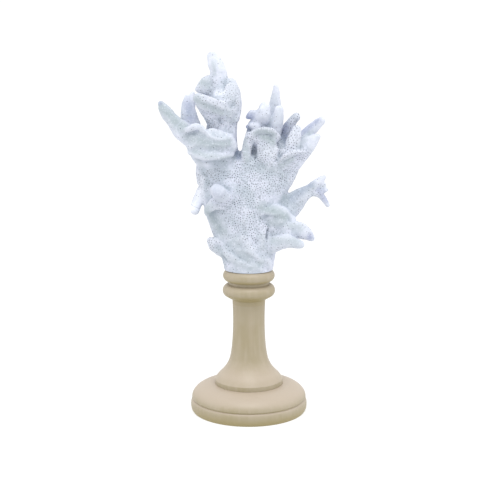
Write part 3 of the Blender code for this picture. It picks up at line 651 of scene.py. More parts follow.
@dataclass
class BladeShaper:
    """Turns blades into meshes: a sphere whose rings are drawn out along the branch."""

    sides: int = 20
    rings: int = 34
    cap_share: float = 0.12
    cap_turn: float = 88.0
    flat_share: float = 0.6
    step: float = 0.02

    def frame_at(self, blade: Blade, place: float) -> tuple:
        """The cross-section's middle, its three directions and its half sizes at a place.

        Args:
            blade: The blade.
            place: How far along its line, from 0 to 1.

        Returns:
            The middle, the directions along, to the side and to the face, and the half width and
            half thickness.
        """
        line = [Vector(point) for point in blade.points]
        middle = smooth_value(line, place)
        ahead = smooth_value(line, min(place + self.step, 1.0))
        behind = smooth_value(line, max(place - self.step, 0.0))
        along = (ahead - behind).normalized()
        first = Vector(blade.face).normalized()
        last = Vector(blade.end_face or blade.face).normalized()
        side = first.lerp(last, place).cross(along).normalized()
        face = along.cross(side).normalized()
        width = smooth_value(blade.widths, place)
        thickness = smooth_value(blade.thicknesses, place)
        return middle, along, side, face, width, thickness

    def section(self, blade: Blade, height: float) -> tuple:
        """The middle, directions and half sizes of one ring.

        Args:
            blade: The blade.
            height: The ring's height on the sphere, from 0 to 1. Both ends of it are round caps.

        Returns:
            The middle, the directions to the side and to the face, and the half width and
            half thickness.
        """
        cap = self.cap_share
        if cap <= height <= 1.0 - cap:
            place = (height - cap) / (1.0 - 2.0 * cap)
            middle, _, side, face, width, thickness = self.frame_at(blade, place)
            return middle, side, face, width, thickness
        tip = height > 0.5
        beyond = (cap - height) / cap if not tip else (height - 1.0 + cap) / cap
        middle, along, side, face, width, thickness = self.frame_at(blade, 1.0 if tip else 0.0)
        turn = math.radians(self.cap_turn) * beyond
        narrow = min(width, thickness)
        left = math.cos(turn)
        flat = self.flat_share + (1.0 - self.flat_share) * (1.0 - beyond) ** 2
        across = max(width - thickness, 0.0) * flat * left ** 0.5 + narrow * left
        reach = narrow * math.sin(turn) * (1.0 if tip else -1.0)
        return middle + along * reach, side, face, min(across, width), thickness * left

    def shape(self, blade: Blade, name: str) -> Object:
        """Makes one blade.

        Args:
            blade: Its line and sizes.
            name: The object's name.

        Returns:
            The closed mesh object.
        """
        bpy.ops.mesh.primitive_uv_sphere_add(segments=self.sides, ring_count=self.rings, radius=1.0)
        piece = bpy.context.object
        piece.name = name
        sections: dict[int, tuple] = {}
        for corner in piece.data.vertices:
            height = 1.0 - math.acos(max(-1.0, min(1.0, corner.co.z))) / math.pi
            ring = round(height * self.rings)
            if ring not in sections:
                sections[ring] = self.section(blade, ring / self.rings)
            middle, side, face, width, thickness = sections[ring]
            radius = math.hypot(corner.co.x, corner.co.y)
            if radius < 1e-6:
                corner.co = middle * MM
                continue
            across = corner.co.x / radius
            through = corner.co.y / radius
            through = math.copysign(abs(through) ** blade.blunt, through)
            bend = blade.cup * width * across * across
            place = middle + side * (width * across) + face * (thickness * through + bend)
            corner.co = place * MM
        return piece


@dataclass
class Pits:
    """Picks where the coral is pitted and sinks the pits. Lengths are in millimetres."""

    spacing: float = 2.05
    sparse_spacing: float = 0.5
    extra_chance: float = 0.04
    dense_from: float = 0.7
    wide_share: float = 0.35
    middle_share: float = 0.8
    sparse_middle_share: float = 0.5
    grey_share: float = 0.7
    bare_below: float = 150.0
    bare_ramp: float = 42.0
    least: float = 0.05
    steps: int = 12
    most_slant: float = 0.85
    lip: float = 0.12
    longest: float = 2.6
    longer_share: float = 0.45
    rounds: int = 4
    seed: int = 41

    def thickness_of(self, body: Object) -> np.ndarray:
        """Notes in the attribute porous how thickly each point is pitted, less where the slate
        painted shade lies.

        Args:
            body: The body before it is pitted.

        Returns:
            The same values, from 0 to 1.
        """
        stations, strengths = [], []
        for branch in BRANCHES:
            for blade in branch.blades:
                line = [Vector(point) for point in blade.points]
                for step in range(self.steps + 1):
                    station = smooth_value(line, step / self.steps)
                    rise = (station.z - self.bare_below) / self.bare_ramp
                    strength = branch.root + (branch.tip - branch.root) * step / self.steps
                    stations.append(station * MM)
                    strengths.append(strength * min(max(rise, self.least), 1.0))
        tree = tree_of(stations)
        near = [tree.find(corner.co)[1] for corner in body.data.vertices]
        grey = read(body.data.attributes[Tone.GREY.value].data, "value").clip(0.0, 1.0)
        porous = np.array(strengths, dtype=np.float32)[near] * (1.0 - self.grey_share * grey)
        note(body.data, "porous", porous)
        return porous

    def square_points(self, mesh: Mesh) -> np.ndarray:
        """Tells which points have no very sharp or flat corner, so that they bevel well.

        Args:
            mesh: A mesh of four-sided faces.

        Returns:
            True for each point that can be bevelled.
        """
        places = read(mesh.vertices, "co", 3, float)
        corners = read(mesh.loops, "vertex_index", 1, np.int64)
        quads = corners.reshape(-1, 4)
        ahead = places[np.roll(quads, -1, axis=1)] - places[quads]
        behind = places[np.roll(quads, 1, axis=1)] - places[quads]
        lengths = np.linalg.norm(ahead, axis=2) * np.linalg.norm(behind, axis=2)
        slant = np.abs((ahead * behind).sum(2) / lengths.clip(1e-12))
        worst = np.zeros(len(places))
        np.maximum.at(worst, corners, slant.ravel())
        return worst < self.most_slant

    def size_of(self, strength: float, draw: float) -> PitSize:
        """Picks the size of a pit.

        Args:
            strength: How thickly its place is pitted, from 0 to 1.
            draw: A random number from 0 to 1.

        Returns:
            The size.
        """
        if strength > self.dense_from:
            if draw < self.wide_share:
                return PitSize.WIDE
            return PitSize.MIDDLE if draw < self.middle_share else PitSize.NARROW
        return PitSize.MIDDLE if draw < self.sparse_middle_share * strength else PitSize.NARROW

    def chosen(self, body: Object) -> dict[PitSize, list[int]]:
        """Picks the points where pits are sunk, no two closer than the spacing.

        Args:
            body: The body.

        Returns:
            The points of each size of pit.
        """
        corners = body.data.vertices
        square = self.square_points(body.data)
        porous = self.thickness_of(body)
        points = tree_of(corner.co for corner in corners)
        random = np.random.default_rng(self.seed)
        taken = np.zeros(len(corners), dtype=bool)
        chosen: dict[PitSize, list[int]] = {size: [] for size in PitSize}
        for number in random.permutation(len(corners)):
            if taken[number] or not square[number]:
                continue
            strength = porous[number]
            draw = random.random()
            spacing = self.spacing * (1.0 + self.sparse_spacing * (1.0 - strength))
            for _, near, _ in points.find_range(corners[number].co, spacing * MM):
                taken[near] = True
            if draw <= self.extra_chance + strength:
                chosen[self.size_of(strength, draw)].append(int(number))
        return chosen

    def sink(self, body: Object) -> None:
        """Sinks a round pit at each chosen point and marks its faces in the attribute pit.

        Args:
            body: The body.
        """
        mesh = body.data
        kinds = np.zeros(len(mesh.vertices), dtype=np.int32)
        for order, (size, numbers) in enumerate(self.chosen(body).items(), 1):
            kinds[numbers] = order
            LOG.info("pits of half width %.2f mm: %d", size.value[0], len(numbers))
        mesh.attributes.new("kind", "INT", "POINT").data.foreach_set("value", kinds)
        mesh.attributes.new("pit", "FLOAT", "FACE")
        take_up(body)
        for order, size in enumerate(PitSize, 1):
            half_width, depth, segments = size.value
            kinds = read(mesh.attributes["kind"].data, "value", 1, np.int32)
            bpy.ops.object.mode_set(mode="EDIT")
            bpy.ops.mesh.select_all(action="DESELECT")
            bpy.ops.mesh.select_mode(type="VERT")
            bpy.ops.object.mode_set(mode="OBJECT")
            mesh.vertices.foreach_set("select", kinds == order)
            bpy.ops.object.mode_set(mode="EDIT")
            bpy.ops.mesh.bevel(offset=half_width * MM, affect="VERTICES", segments=segments,
                               profile=0.5)
            bpy.ops.mesh.select_mode(type="FACE")
            bpy.ops.mesh.inset(thickness=self.lip * MM, depth=-depth * MM)
            bpy.ops.mesh.select_more()
            bpy.ops.object.mode_set(mode="OBJECT")
            marks = read(mesh.attributes["pit"].data, "value")
            marks[read(mesh.polygons, "select", 1, bool)] = 1.0
            mesh.attributes["pit"].data.foreach_set("value", marks)
        self.hold_close(mesh)

    def hold_close(self, mesh: Mesh) -> None:
        """Takes back corners that a bevel threw off the surface, and keeps all in the solids' box.

        A corner whose edges are mostly too long goes to the middle of its neighbours.

        Args:
            mesh: The pitted mesh.
        """
        places = read(mesh.vertices, "co", 3, float)
        ends, others = neighbours(mesh)
        count = len(places)
        number = np.bincount(ends, minlength=count).clip(1)
        for _ in range(self.rounds):
            lengths = np.linalg.norm(places[ends] - places[others], axis=1)
            longer = np.bincount(ends, lengths > self.longest * MM, count) / number
            thrown = longer > self.longer_share
            near = ~thrown[others]
            held = np.bincount(ends[near], minlength=count)
            moved = thrown & (held > 0)
            for axis in range(3):
                total = np.bincount(ends[near], places[others[near], axis], count)
                places[moved, axis] = total[moved] / held[moved]
        move(mesh, places.clip(*np.array(CAD_BOX)))


@dataclass
class Coral:
    """The coral: fused blades, strokes, lumps, pits and the cuts at the forks, in millimetres."""

    voxel: float = 1.1
    smooth_rounds: int = 6
    valley_depth: float = 5.0
    valley_share: float = 0.65
    valley_front: Pair = (-1.6, -0.3)
    valley_smooth_rounds: int = 2
    hollow_depth: float = 1.3
    hollow_rounds: int = 40
    stroke_power: float = 1.4
    lump_size: float = 11.0
    lump_height: float = 1.6
    ripple_size: float = 4.2
    ripple_height: float = 0.65
    seam: float = 0.02
    block: Pair = (80.0, 40.0)
    crease_angle: float = 60.0
    shaper: BladeShaper = field(default_factory=BladeShaper)
    pits: Pits = field(default_factory=Pits)

    def fused(self) -> Object:
        """Fuses every blade into one closed body with filled valleys, strokes and slow lumps.

        Returns:
            The body.
        """
        blades = []
        for branch in BRANCHES:
            for number, blade in enumerate(branch.blades):
                blades.append(self.shaper.shape(blade, f"{branch.name} {number}"))
        body = join(blades)
        work_in(body, "REMESH", mode="VOXEL", voxel_size=self.voxel * MM)
        work_in(body, "SMOOTH", factor=0.5, iterations=self.smooth_rounds)
        self.fill(body)
        self.carve(body)
        self.swell(body, "lumps", self.lump_size, self.lump_height)
        self.swell(body, "ripples", self.ripple_size, self.ripple_height)
        return body

    def fill(self, body: Object) -> None:
        """Fills the valleys on the front by a share of their depth, so that lobes flow together.

        Args:
            body: The fused body.
        """
        note_hollows(body, self.hollow_rounds, self.valley_depth)
        mesh = body.data
        places = read(mesh.vertices, "co", 3)
        normals = read(mesh.vertices, "normal", 3)
        hollows = read(mesh.attributes["hollow"].data, "value").clip(0.0, 1.0)
        slope, start = self.valley_front
        front = (normals[:, 1] * slope + start).clip(0.0, 1.0)
        rise = hollows * front * (self.valley_depth * self.valley_share * MM)
        move(mesh, places + normals * rise[:, None])
        mesh.attributes.remove(mesh.attributes["hollow"])
        work_in(body, "SMOOTH", factor=0.5, iterations=self.valley_smooth_rounds)

    def carve(self, body: Object) -> None:
        """Raises and cuts in the surface along the strokes.

        Args:
            body: The fused body.
        """
        mesh = body.data
        places = read(mesh.vertices, "co", 3) / MM
        normals = read(mesh.vertices, "normal", 3)
        moved = np.zeros(len(places))
        for stroke in STROKES:
            moved += stroke.amount * closeness(places, stroke) ** self.stroke_power
        places += normals * moved[:, None]
        move(mesh, places * MM)

    def painted_tone(self, body: Object) -> None:
        """Writes how strongly each point takes each painted tone, mostly painted shade and painted
        highlight, to an attribute for each tone.

        Args:
            body: The finished body.
        """
        places = read(body.data.vertices, "co", 3) / MM
        for tone, tone_strokes in PAINTED_TONES.items():
            amount = np.zeros(len(places))
            for painted_tone in tone_strokes:
                near = closeness(places, painted_tone)
                amount = np.maximum(amount, near * near * (3.0 - 2.0 * near) * painted_tone.amount)
            note(body.data, tone.value, amount)

    def swell(self, body: Object, name: str, size: float, height: float) -> None:
        """Raises and sinks the surface by a soft noise.

        Args:
            body: The body.
            name: The noise's name.
            size: How wide its lumps are.
            height: How high they are.
        """
        texture = bpy.data.textures.new(name, "CLOUDS")
        texture.noise_scale = size * MM
        texture.noise_depth = 1
        work_in(body, "DISPLACE", texture=texture, texture_coords="GLOBAL", strength=height * MM,
                mid_level=0.5)

    def saw(self, fork: Fork, name: str) -> Object:
        """A thin block that lies where a fork is sawn off.

        Args:
            fork: The fork.
            name: The block's name.

        Returns:
            The block.
        """
        bpy.ops.mesh.primitive_cube_add(size=2.0)
        blade = bpy.context.object
        blade.name = name
        up = Vector(fork.direction).normalized()
        across = Vector((0.0, 1.0, 0.0)).cross(up).normalized()
        through = up.cross(across)
        wide, deep = fork.reach
        for corner in blade.data.vertices:
            x, y, z = corner.co
            shift = across * (x * wide) + through * (y * deep) + up * (z * self.seam / 2)
            corner.co = (Vector(fork.middle) + shift) * MM
        return blade

    def below(self, floor: float) -> Object:
        """A block that takes away all that lies below the pedestal's top.

        Args:
            floor: The height of the pedestal's top.

        Returns:
            The block.
        """
        bpy.ops.mesh.primitive_cube_add(size=2.0)
        block = bpy.context.object
        reach, depth = self.block
        for corner in block.data.vertices:
            x, y, z = corner.co
            corner.co = Vector((x * reach, y * reach, floor + (z - 1.0) * depth)) * MM
        return block

    def sawn(self, body: Object) -> dict[str, Object]:
        """Saws the body flat at the bottom and apart at its forks.

        Args:
            body: The pitted body.

        Returns:
            Each piece, under the name of the solid whose place it takes.
        """
        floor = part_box("coral_trunk")[0][2] / MM
        saws = [self.saw(fork, f"saw {name}") for name, fork in FORKS.items()]
        cutter = join(saws + [self.below(floor)])
        work_in(body, "BOOLEAN", operation="DIFFERENCE", solver="MANIFOLD", object=cutter)
        bpy.data.objects.remove(cutter)
        take_up(body)
        bpy.ops.object.mode_set(mode="EDIT")
        bpy.ops.mesh.select_all(action="SELECT")
        bpy.ops.mesh.separate(type="LOOSE")
        bpy.ops.object.mode_set(mode="OBJECT")
        parts = list(bpy.context.selected_objects)
        parts.sort(key=lambda part: len(part.data.vertices), reverse=True)
        trees = {part: tree_of(corner.co for corner in part.data.vertices) for part in parts}
        pieces: dict[str, Object] = {}
        for name, fork in FORKS.items():
            goal = Vector(fork.beyond) * MM
            free = [part for part in parts if part not in pieces.values()]
            pieces[name] = min(free, key=lambda part: trees[part].find(goal)[2])
        rest = [part for part in parts if part not in pieces.values()]
        pieces["coral_trunk"] = rest[0]
        for crumb in rest[1:]:
            LOG.info("crumb of %d points left out", len(crumb.data.vertices))
            bpy.data.objects.remove(crumb)
        return pieces

    def build(self, finish: Material) -> list[Object]:
        """Makes all pieces of the coral, dressed and in place.

        Args:
            finish: The coral's material.

        Returns:
            The pieces.
        """
        body = self.fused()
        # the hollows are noted for the painted shade in the creases and the painted highlight on
        # raised parts
        note_hollows(body, self.hollow_rounds, self.hollow_depth)
        self.painted_tone(body)
        self.pits.sink(body)
        made = []
        for node, piece in self.sawn(body).items():
            piece.name = node.replace("coral_", "pitted_")
            piece.data.name = piece.name
            piece.data.materials.clear()
            piece.data.materials.append(finish)
            take_up(piece)
            bpy.ops.object.shade_smooth_by_angle(angle=math.radians(self.crease_angle))
            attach(piece, "root")
            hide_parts(node)
            made.append(piece)
        return made


@dataclass
class Pedestal:
    """The turned and painted foot and column, in millimetres. Arcs are in degrees."""

    sides: int = 128
    height: float = 153.0
    foot_bead: Point = (60.4, 6.6, 6.0)
    foot_bead_radius: float = 62.38
    foot_bead_arc: Pair = (78.0, -62.0)
    foot_bead_steps: int = 18
    foot_groove: Pair = (60.1, 13.3)
    foot_dome: Pair = (36.0, 14.5)
    foot_dome_reach: Pair = (25.2, 14.6)
    foot_dome_arc: Pair = (90.0, 0.0)
    foot_dome_steps: int = 28
    foot_bottom_radius: float = 60.5
    step: Pair = (36.4, 33.7)
    shaft: list[Pair] = field(default_factory=lambda: [
        (36.3, 34.0), (32.6, 39.0), (27.4, 44.4), (23.4, 50.0), (20.6, 56.5), (18.9, 65.0),
        (17.7, 76.0), (17.0, 90.0), (16.9, 104.0), (17.5, 121.0)])
    shaft_steps: int = 96
    neck_radius: float = 21.3
    neck_drop: float = 0.4
    lower_ring: Pair = (20.8, 131.0)
    lower_ring_reach: Pair = (7.0, 6.9)
    lower_ring_arc: Pair = (93.0, -60.0)
    upper_ring: Pair = (21.4, 147.0)
    upper_ring_reach: Pair = (6.0, 6.0)
    upper_ring_arc: Pair = (90.0, -90.0)
    ring_steps: int = 24
    gap: float = 0.03
    crease_angle: float = 50.0
    hollow_depth: float = 0.5
    hollow_rounds: int = 14

    def arc(self, centre: Pair, reach: Pair, turn: Pair, steps: int) -> list[Pair]:
        """Points of an upright ellipse.

        Args:
            centre: Its middle.
            reach: Its half width and half height.
            turn: The first and the last point's angle.
            steps: How many steps there are between them.

        Returns:
            The points.
        """
        start, end = turn
        points = []
        for step in range(steps + 1):
            angle = math.radians(start + (end - start) * step / steps)
            points.append((centre[0] + reach[0] * math.cos(angle),
                           centre[1] + reach[1] * math.sin(angle)))
        return points

    def foot_profile(self) -> list[Pair]:
        """The foot's outline from its top middle to its bottom middle.

        Returns:
            Radius and height of each point.
        """
        outline = [(0.0, self.foot_dome[1] + self.foot_dome_reach[1])]
        outline += self.arc(self.foot_dome, self.foot_dome_reach, self.foot_dome_arc,
                            self.foot_dome_steps)
        outline.append(self.foot_groove)
        radius, height, half = self.foot_bead
        reach = (self.foot_bead_radius - radius, half)
        outline += self.arc((radius, height), reach, self.foot_bead_arc, self.foot_bead_steps)
        return outline + [(self.foot_bottom_radius, 0.0), (0.0, 0.0)]

    def column_profile(self) -> list[Pair]:
        """The column's outline from its top middle to its bottom middle.

        Returns:
            Radius and height of each point.
        """
        bottom = self.foot_dome[1] + self.foot_dome_reach[1] + self.gap
        neck_top = self.upper_ring[1] - self.upper_ring_reach[1] - self.neck_drop
        outline = [(0.0, self.height)]
        outline += self.arc(self.upper_ring, self.upper_ring_reach, self.upper_ring_arc,
                            self.ring_steps)
        outline.append((self.neck_radius, neck_top))
        outline.append((self.neck_radius, self.lower_ring[1] + self.lower_ring_reach[1]))
        outline += self.arc(self.lower_ring, self.lower_ring_reach, self.lower_ring_arc,
                            self.ring_steps)
        radii, heights = zip(*self.shaft)
        for step in range(self.shaft_steps, -1, -1):
            place = step / self.shaft_steps
            outline.append((smooth_value(radii, place), smooth_value(heights, place)))
        return outline + [self.step, (self.step[0], bottom), (0.0, bottom)]

    def turn(self, name: str, outline: list[Pair]) -> Object:
        """Spins an outline round the pedestal's axis into a closed piece.

        Args:
            name: The piece's name.
            outline: Radius and height of each point.

        Returns:
            The piece.
        """
        mesh = bpy.data.meshes.new(name)
        edges = [(n, n + 1) for n in range(len(outline) - 1)]
        mesh.from_pydata([(radius * MM, 0.0, height * MM) for radius, height in outline], edges, [])
        piece = bpy.data.objects.new(name, mesh)
        bpy.context.scene.collection.objects.link(piece)
        take_up(piece)
        bpy.ops.object.mode_set(mode="EDIT")
        bpy.ops.mesh.select_all(action="SELECT")
        bpy.ops.mesh.spin(steps=self.sides, angle=math.tau, center=(0.0, 0.0, 0.0),
                          axis=(0.0, 0.0, 1.0))
        bpy.ops.mesh.select_all(action="SELECT")
        bpy.ops.mesh.remove_doubles(threshold=0.01 * MM)
        bpy.ops.mesh.normals_make_consistent(inside=False)
        bpy.ops.object.mode_set(mode="OBJECT")
        bpy.ops.object.shade_smooth_by_angle(angle=math.radians(self.crease_angle))
        # the hollows are noted for the painted shade in the pedestal's grooves
        note_hollows(piece, self.hollow_rounds, self.hollow_depth)
        return piece

    def build(self, finish: Material) -> list[Object]:
        """Makes the foot and the column, dressed and in place.

        Args:
            finish: The paint.

        Returns:
            The two pieces.
        """
        profiles = {"pedestal_foot": self.foot_profile(), "pedestal_column": self.column_profile()}
        made = []
        for node, outline in profiles.items():
            piece = self.turn(node.replace("pedestal_", "painted_"), outline)
            piece.data.materials.append(finish)
            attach(piece, "root")
            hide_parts(node)
            made.append(piece)
        return made


class Wire:
    """A socket in an expression: each operator on it adds one Math node."""

    def __init__(self, bench: "NodeBench", socket: NodeSocket) -> None:
        """Keeps the bench that adds the nodes, and the socket."""
        self.bench = bench
        self.socket = socket

    def math(self, operation: str, first: object, second: object) -> "Wire":
        """The outcome of one Math node."""
        return self.bench.wire("ShaderNodeMath", {"operation": operation}, {0: first, 1: second})

    def __add__(self, other: object) -> "Wire":
        """self + other"""
        return self.math("ADD", self, other)

    def __sub__(self, other: object) -> "Wire":
        """self - other"""
        return self.math("SUBTRACT", self, other)

    def __rsub__(self, other: object) -> "Wire":
        """other - self"""
        return self.math("SUBTRACT", other, self)

    def __mul__(self, other: object) -> "Wire":
        """self * other"""
        return self.math("MULTIPLY", self, other)

    def __neg__(self) -> "Wire":
        """-self"""
        return self.math("MULTIPLY", self, -1.0)

    __radd__ = __add__
    __rmul__ = __mul__

    def between(self, low: float, high: float) -> "Wire":
        """A soft step that is 0 below low and 1 above high."""
        inputs = {"Value": self, "From Min": low, "From Max": high}
        return self.bench.wire("ShaderNodeMapRange", {"interpolation_type": "SMOOTHSTEP"}, inputs)


class NodeBench:
    """Builds the nodes of one material."""

    def __init__(self, name: str) -> None:
        """Starts a material with its plain surface shader.

        Args:
            name: The material's name.
        """
        self.material = bpy.data.materials.new(name)
        self.material.use_nodes = True
        self.tree = self.material.node_tree
        self.shader = self.tree.nodes["Principled BSDF"]

    def node(self, kind: str, settings: dict, inputs: dict) -> ShaderNode:
        """Adds a node.

        Args:
            kind: Its type.
            settings: Its properties, which are set first.
            inputs: Values or wires for its sockets, by name or number.

        Returns:
            The node.
        """
        made = self.tree.nodes.new(kind)
        for name, value in settings.items():
            setattr(made, name, value)
        for key, value in inputs.items():
            self.feed(made.inputs[key], value)
        return made

    def wire(self, kind: str, settings: dict, inputs: dict, output: object = 0) -> Wire:
        """Adds a node and gives one of its outputs as a wire."""
        return Wire(self, self.node(kind, settings, inputs).outputs[output])

    def feed(self, socket: NodeSocket, value: object) -> None:
        """Links a wire to a socket, or sets its value.

        Args:
            socket: The socket.
            value: A wire, number, vector or colour.
        """
        if isinstance(value, Wire):
            self.tree.links.new(value.socket, socket)
        elif isinstance(value, tuple) and socket.type == "RGBA":
            socket.default_value = (*value, 1.0)
        else:
            socket.default_value = value

    def place(self) -> Wire:
        """The place on the piece, in metres."""
        return self.wire("ShaderNodeTexCoord", {}, {}, "Object")

    def upward(self) -> Wire:
        """How far the surface faces up, from -1 to 1."""
        normal = self.wire("ShaderNodeNewGeometry", {}, {}, "Normal")
        return self.wire("ShaderNodeSeparateXYZ", {}, {0: normal}, "Z")

    def height(self) -> Wire:
        """The height above the floor, in metres."""
        return self.wire("ShaderNodeSeparateXYZ", {}, {0: self.place()}, "Z")

    def noise(self, size: float, detail: float = 3.0, flat: float = 1.0) -> Wire:
        """A soft noise, drawn out upwards where flat is small.

        Args:
            size: How wide its lumps are, in millimetres.
            detail: How many finer layers it has.
            flat: How much a step upwards counts in it, against a step to the side.

        Returns:
            The noise, from 0 to 1.
        """
        scaled = {0: self.place(), 1: (1.0, 1.0, flat)}
        place = self.wire("ShaderNodeVectorMath", {"operation": "MULTIPLY"}, scaled)
        inputs = {"Vector": place, "Scale": 1.0 / (size * MM), "Detail": detail}
        return self.wire("ShaderNodeTexNoise", {}, inputs)

    def pores(self, spacing: float) -> Wire:
        """Small round pores.

        Args:
            spacing: How far apart they are, in millimetres.

        Returns:
            1 in the middle of each pore and 0 between them.
        """
        inputs = {"Vector": self.place(), "Scale": 1.0 / (spacing * MM), "Randomness": 0.8}
        return 1.0 - self.wire("ShaderNodeTexVoronoi", {}, inputs, "Distance").between(0.12, 0.42)

    def kept(self, name: str) -> Wire:
        """The values of a mesh attribute."""
        return self.wire("ShaderNodeAttribute", {"attribute_name": name}, {}, "Fac")

    def layered(self, base: Colour, layers: list[tuple[Wire, Colour]]) -> Wire:
        """Lays colours over a base colour, one after the other.

        Args:
            base: The base colour.
            layers: How much of each colour shows, and the colour.

        Returns:
            The outcome.
        """
        colour: object = base
        for share, tint in layers:
            inputs = {0: share, 6: colour, 7: tint}
            colour = self.wire("ShaderNodeMix", {"data_type": "RGBA"}, inputs, 2)
        return colour

    def surface(self, **inputs: object) -> None:
        """Feeds the surface shader's sockets, with underscores for spaces in their names."""
        for name, value in inputs.items():
            self.feed(self.shader.inputs[name.replace("_", " ")], value)

    def bumped(self, height: Wire, distance: float) -> Wire:
        """A bumped normal from a height in shares of distance, which is in millimetres."""
        inputs = {"Height": height, "Distance": distance * MM, "Strength": 1.0}
        return self.wire("ShaderNodeBump", {}, inputs, "Normal")


@dataclass(frozen=True)
class CoralFinish:
    """Dry, chalky white coral, with cool painted shade in its creases and pores, near-black painted
    shade in its pits and painted highlights on its raised parts. Sizes are in millimetres.
    """

    white: Colour = (0.61, 0.64, 0.745)
    cool: Colour = (0.41, 0.47, 0.53)
    crest_highlight: Colour = (0.66, 0.69, 0.77)
    crease_shade: Colour = (0.26, 0.31, 0.37)
    # the near-black colour of the painted shade inside the pits
    pit: Colour = (0.04, 0.05, 0.07)
    grey: Colour = (0.35, 0.41, 0.44)
    violet: Colour = (0.21, 0.25, 0.42)
    bright: Colour = (0.80, 0.83, 0.92)
    patch_size: float = 22.0
    fray_size: float = 5.0
    fleck_size: float = 3.2
    speck_size: float = 1.5
    grain_size: float = 0.9
    pore_spacing: float = 1.55
    pore_depth: float = 3.0
    grain_height: float = 0.12

    def material(self) -> Material:
        """Builds the material.

        Returns:
            The material.
        """
        bench = NodeBench("white coral")
        hollow = bench.kept("hollow")
        grain = bench.noise(self.grain_size, 4.0)
        frayed = 0.6 + 0.8 * bench.noise(self.fray_size)
        pores = bench.pores(self.pore_spacing) * bench.kept("porous").between(0.2, 0.9)
        colour = bench.layered(self.white, [
            (bench.noise(self.patch_size).between(0.38, 0.62) * 0.7, self.cool),
            (bench.noise(self.fleck_size).between(0.4, 0.65) * 0.45, self.cool),
            # painted highlight on the raised parts, where the hollow attribute is below zero
            ((-hollow).between(0.05, 0.8) * 0.55, self.crest_highlight),
            # slate painted shade under rims, in hollows and on faces turned down, partly a slate
            # tone of the lobes
            (bench.kept(Tone.GREY.value) * frayed * 0.8, self.grey),
            # purple painted shade in recesses and on faces turned from the light, with a faint
            # purple tint on the stub
            (bench.kept(Tone.VIOLET.value) * frayed * 0.9, self.violet),
            # pale painted highlights on lit lobes, ledges and knobs
            (bench.kept(Tone.BRIGHT.value) * frayed * 0.9, self.bright),
            # cool painted shade in the creases and hollows
            (hollow.between(0.02, 0.85) * 0.6, self.crease_shade),
            # cool painted shade in the small pores, where the pitting is thick
            (pores * 0.55, self.crease_shade),
            # near-black painted shade on the faces of the sunk pits
            (bench.kept("pit") * 0.95, self.pit),
            # random pale specks in the coral's own tone
            (bench.noise(self.speck_size, 2.0).between(0.5, 0.7) * 0.3, self.bright),
            (grain.between(0.45, 0.75) * 0.25, self.cool),
        ])
        relief = bench.bumped(grain - pores * self.pore_depth, self.grain_height)
        bench.surface(Base_Color=colour, Roughness=0.74 + 0.2 * grain, Normal=relief)
        bench.surface(Specular_IOR_Level=0.3)
        return bench.material


@dataclass(frozen=True)
class PaintFinish:
    """Satin cream paint, with painted light on its tops and yellow painted shade on its undersides,
    in its grooves and near the floor. Sizes are in millimetres.
    """

    cream: Colour = (0.33, 0.28, 0.175)
    pale: Colour = (0.36, 0.31, 0.215)
    streak_and_lit_top: Colour = (0.46, 0.39, 0.31)
    painted_shade_tone: Colour = (0.31, 0.255, 0.12)
    patch_size: float = 30.0
    streak_size: float = 4.5
    streak_flat: float = 0.05
    fine_size: float = 1.6
    fine_height: float = 0.05
    lit_top_fade: Pair = (0.06, 0.13)
    floor_shade_height: float = 0.011

    def material(self) -> Material:
        """Builds the material.

        Returns:
            The material.
        """
        bench = NodeBench("cream paint")
        fine = bench.noise(self.fine_size, 2.0)
        streaks = bench.noise(self.streak_size, 2.0, self.streak_flat)
        upward = bench.upward()
        height = bench.height()
        # how much painted light the tops take, less high up on the rings than on the foot
        lit_top_share = 1.0 - height.between(*self.lit_top_fade) * 0.7
        colour = bench.layered(self.cream, [
            (bench.noise(self.patch_size).between(0.3, 0.7), self.pale),
            (streaks.between(0.4, 0.75) * 0.25, self.streak_and_lit_top),
            # painted light on the faces that look up, which makes the tops of the foot and rings
            # paler
            (upward.between(0.08, 0.95) * lit_top_share, self.streak_and_lit_top),
            # yellow painted shade on the faces that look down, under the rings and lips
            ((-upward).between(0.1, 0.8) * 0.8, self.painted_shade_tone),
            # yellow painted shade darkening the foot towards the floor, over its lowest 11 mm
            (1.0 - height.between(0.0, self.floor_shade_height), self.painted_shade_tone),
            # yellow painted shade in the grooves and hollows
            (bench.kept("hollow").between(0.3, 1.0) * 0.35, self.painted_shade_tone),
        ])
        relief = bench.bumped(fine, self.fine_height)
        bench.surface(Base_Color=colour, Roughness=0.4 + 0.12 * fine, Normal=relief)
        return bench.material


@dataclass(frozen=True)
class Lamp:
    """A square soft light: its place and side in metres, its power in watts and its colour."""

    name: str
    place: Point
    side: float
    power: float
    colour: Colour

    def hang(self, target: Point) -> None:
        """Adds the light, turned towards a target.

        Args:
            target: The place it is turned to, in metres.
        """
        lamp = bpy.data.lights.new(self.name, "AREA")
        lamp.size = self.side
        lamp.energy = self.power
        lamp.color = self.colour
        lamp_object = bpy.data.objects.new(self.name, lamp)
        lamp_object.location = self.place
        towards = Vector(target) - Vector(self.place)
        lamp_object.rotation_euler = towards.to_track_quat("-Z", "Y").to_euler()
        bpy.context.scene.collection.objects.link(lamp_object)


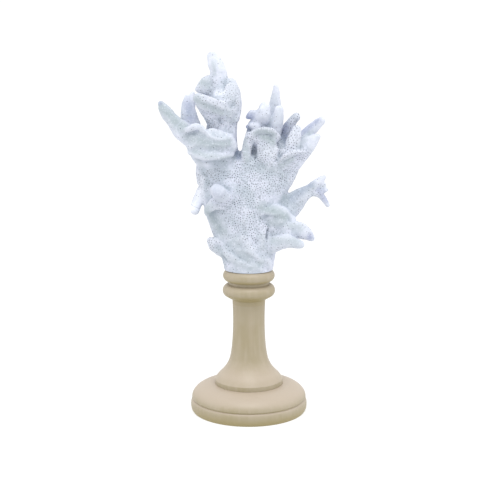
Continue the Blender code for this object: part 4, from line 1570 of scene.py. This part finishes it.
@dataclass(frozen=True)
class Studio:
    """A white floor and backdrop, soft light from above and both sides, and the camera."""

    camera_place: Point = (0.0012, -1.15, 0.39)
    camera_pitch: float = 10.64
    focal_share: float = 1110.0 / 500.0
    sensor: float = 36.0
    view_end: float = 20.0
    lamps: tuple[Lamp, ...] = (
        Lamp("top light", (0.0, -0.6, 1.4), 0.8, 9.0, (1.0, 0.99, 0.97)),
        Lamp("left light", (-1.3, -0.1, 0.5), 1.0, 2.2, (1.0, 0.94, 0.97)),
        Lamp("right light", (1.3, -0.1, 0.5), 1.0, 3.0, (0.97, 0.93, 1.0)),
    )
    lit_place: Point = (0.0, 0.0, 0.22)
    floor_size: float = 8.0
    floor_bend: Pair = (1.6, 0.6)
    floor_tone: Colour = (0.3, 0.3, 0.3)
    floor_glow: float = 0.72
    white: Colour = (1.0, 1.0, 1.0)

    def camera(self) -> None:
        """Sets the camera that looks slightly down on the coral's front."""
        lens = bpy.data.cameras.new("camera")
        lens.sensor_width = self.sensor
        lens.lens = self.sensor * self.focal_share
        lens.clip_end = self.view_end
        camera = bpy.data.objects.new("camera", lens)
        camera.location = self.camera_place
        camera.rotation_euler = (math.radians(90.0 - self.camera_pitch), 0.0, 0.0)
        bpy.context.scene.collection.objects.link(camera)
        bpy.context.scene.camera = camera

    def lights(self) -> None:
        """Adds the room's light and the lamps."""
        room = bpy.data.worlds.new("studio")
        bpy.context.scene.world = room
        room.use_nodes = True
        background = room.node_tree.nodes["Background"]
        background.inputs["Color"].default_value = (*self.white, 1.0)
        background.inputs["Strength"].default_value = 1.0
        for lamp in self.lamps:
            lamp.hang(self.lit_place)

    def floor(self) -> None:
        """Adds the white floor, which curves up into the backdrop."""
        bpy.ops.mesh.primitive_grid_add(x_subdivisions=2, y_subdivisions=40, size=self.floor_size)
        floor = bpy.context.object
        floor.name = "studio_floor"
        start, steepness = self.floor_bend
        for corner in floor.data.vertices:
            behind = max(corner.co.y - start, 0.0)
            corner.co.z = behind * behind * steepness
        bench = NodeBench("white backdrop")
        bench.surface(Base_Color=self.floor_tone, Roughness=0.9)
        bench.surface(Emission_Color=self.white, Emission_Strength=self.floor_glow)
        floor.data.materials.append(bench.material)
        take_up(floor)
        bpy.ops.object.shade_smooth()

    def build(self) -> None:
        """Sets up the whole studio."""
        self.camera()
        self.lights()
        self.floor()
        bpy.context.scene.view_settings.view_transform = "Standard"


def report(pieces: Iterable[Object]) -> None:
    """Logs the size of each piece.

    Args:
        pieces: The pieces.
    """
    for piece in pieces:
        piece.data.calc_loop_triangles()
        LOG.info("%s: %d triangles", piece.name, len(piece.data.loop_triangles))


def main() -> None:
    """Builds the studio, the pedestal and the coral, and notes the sizes."""
    logging.basicConfig(level=logging.INFO, format="%(message)s")
    Studio().build()
    report(Pedestal().build(PaintFinish().material()))
    report(Coral().build(CoralFinish().material()))


if __name__ == "__main__":
    main()
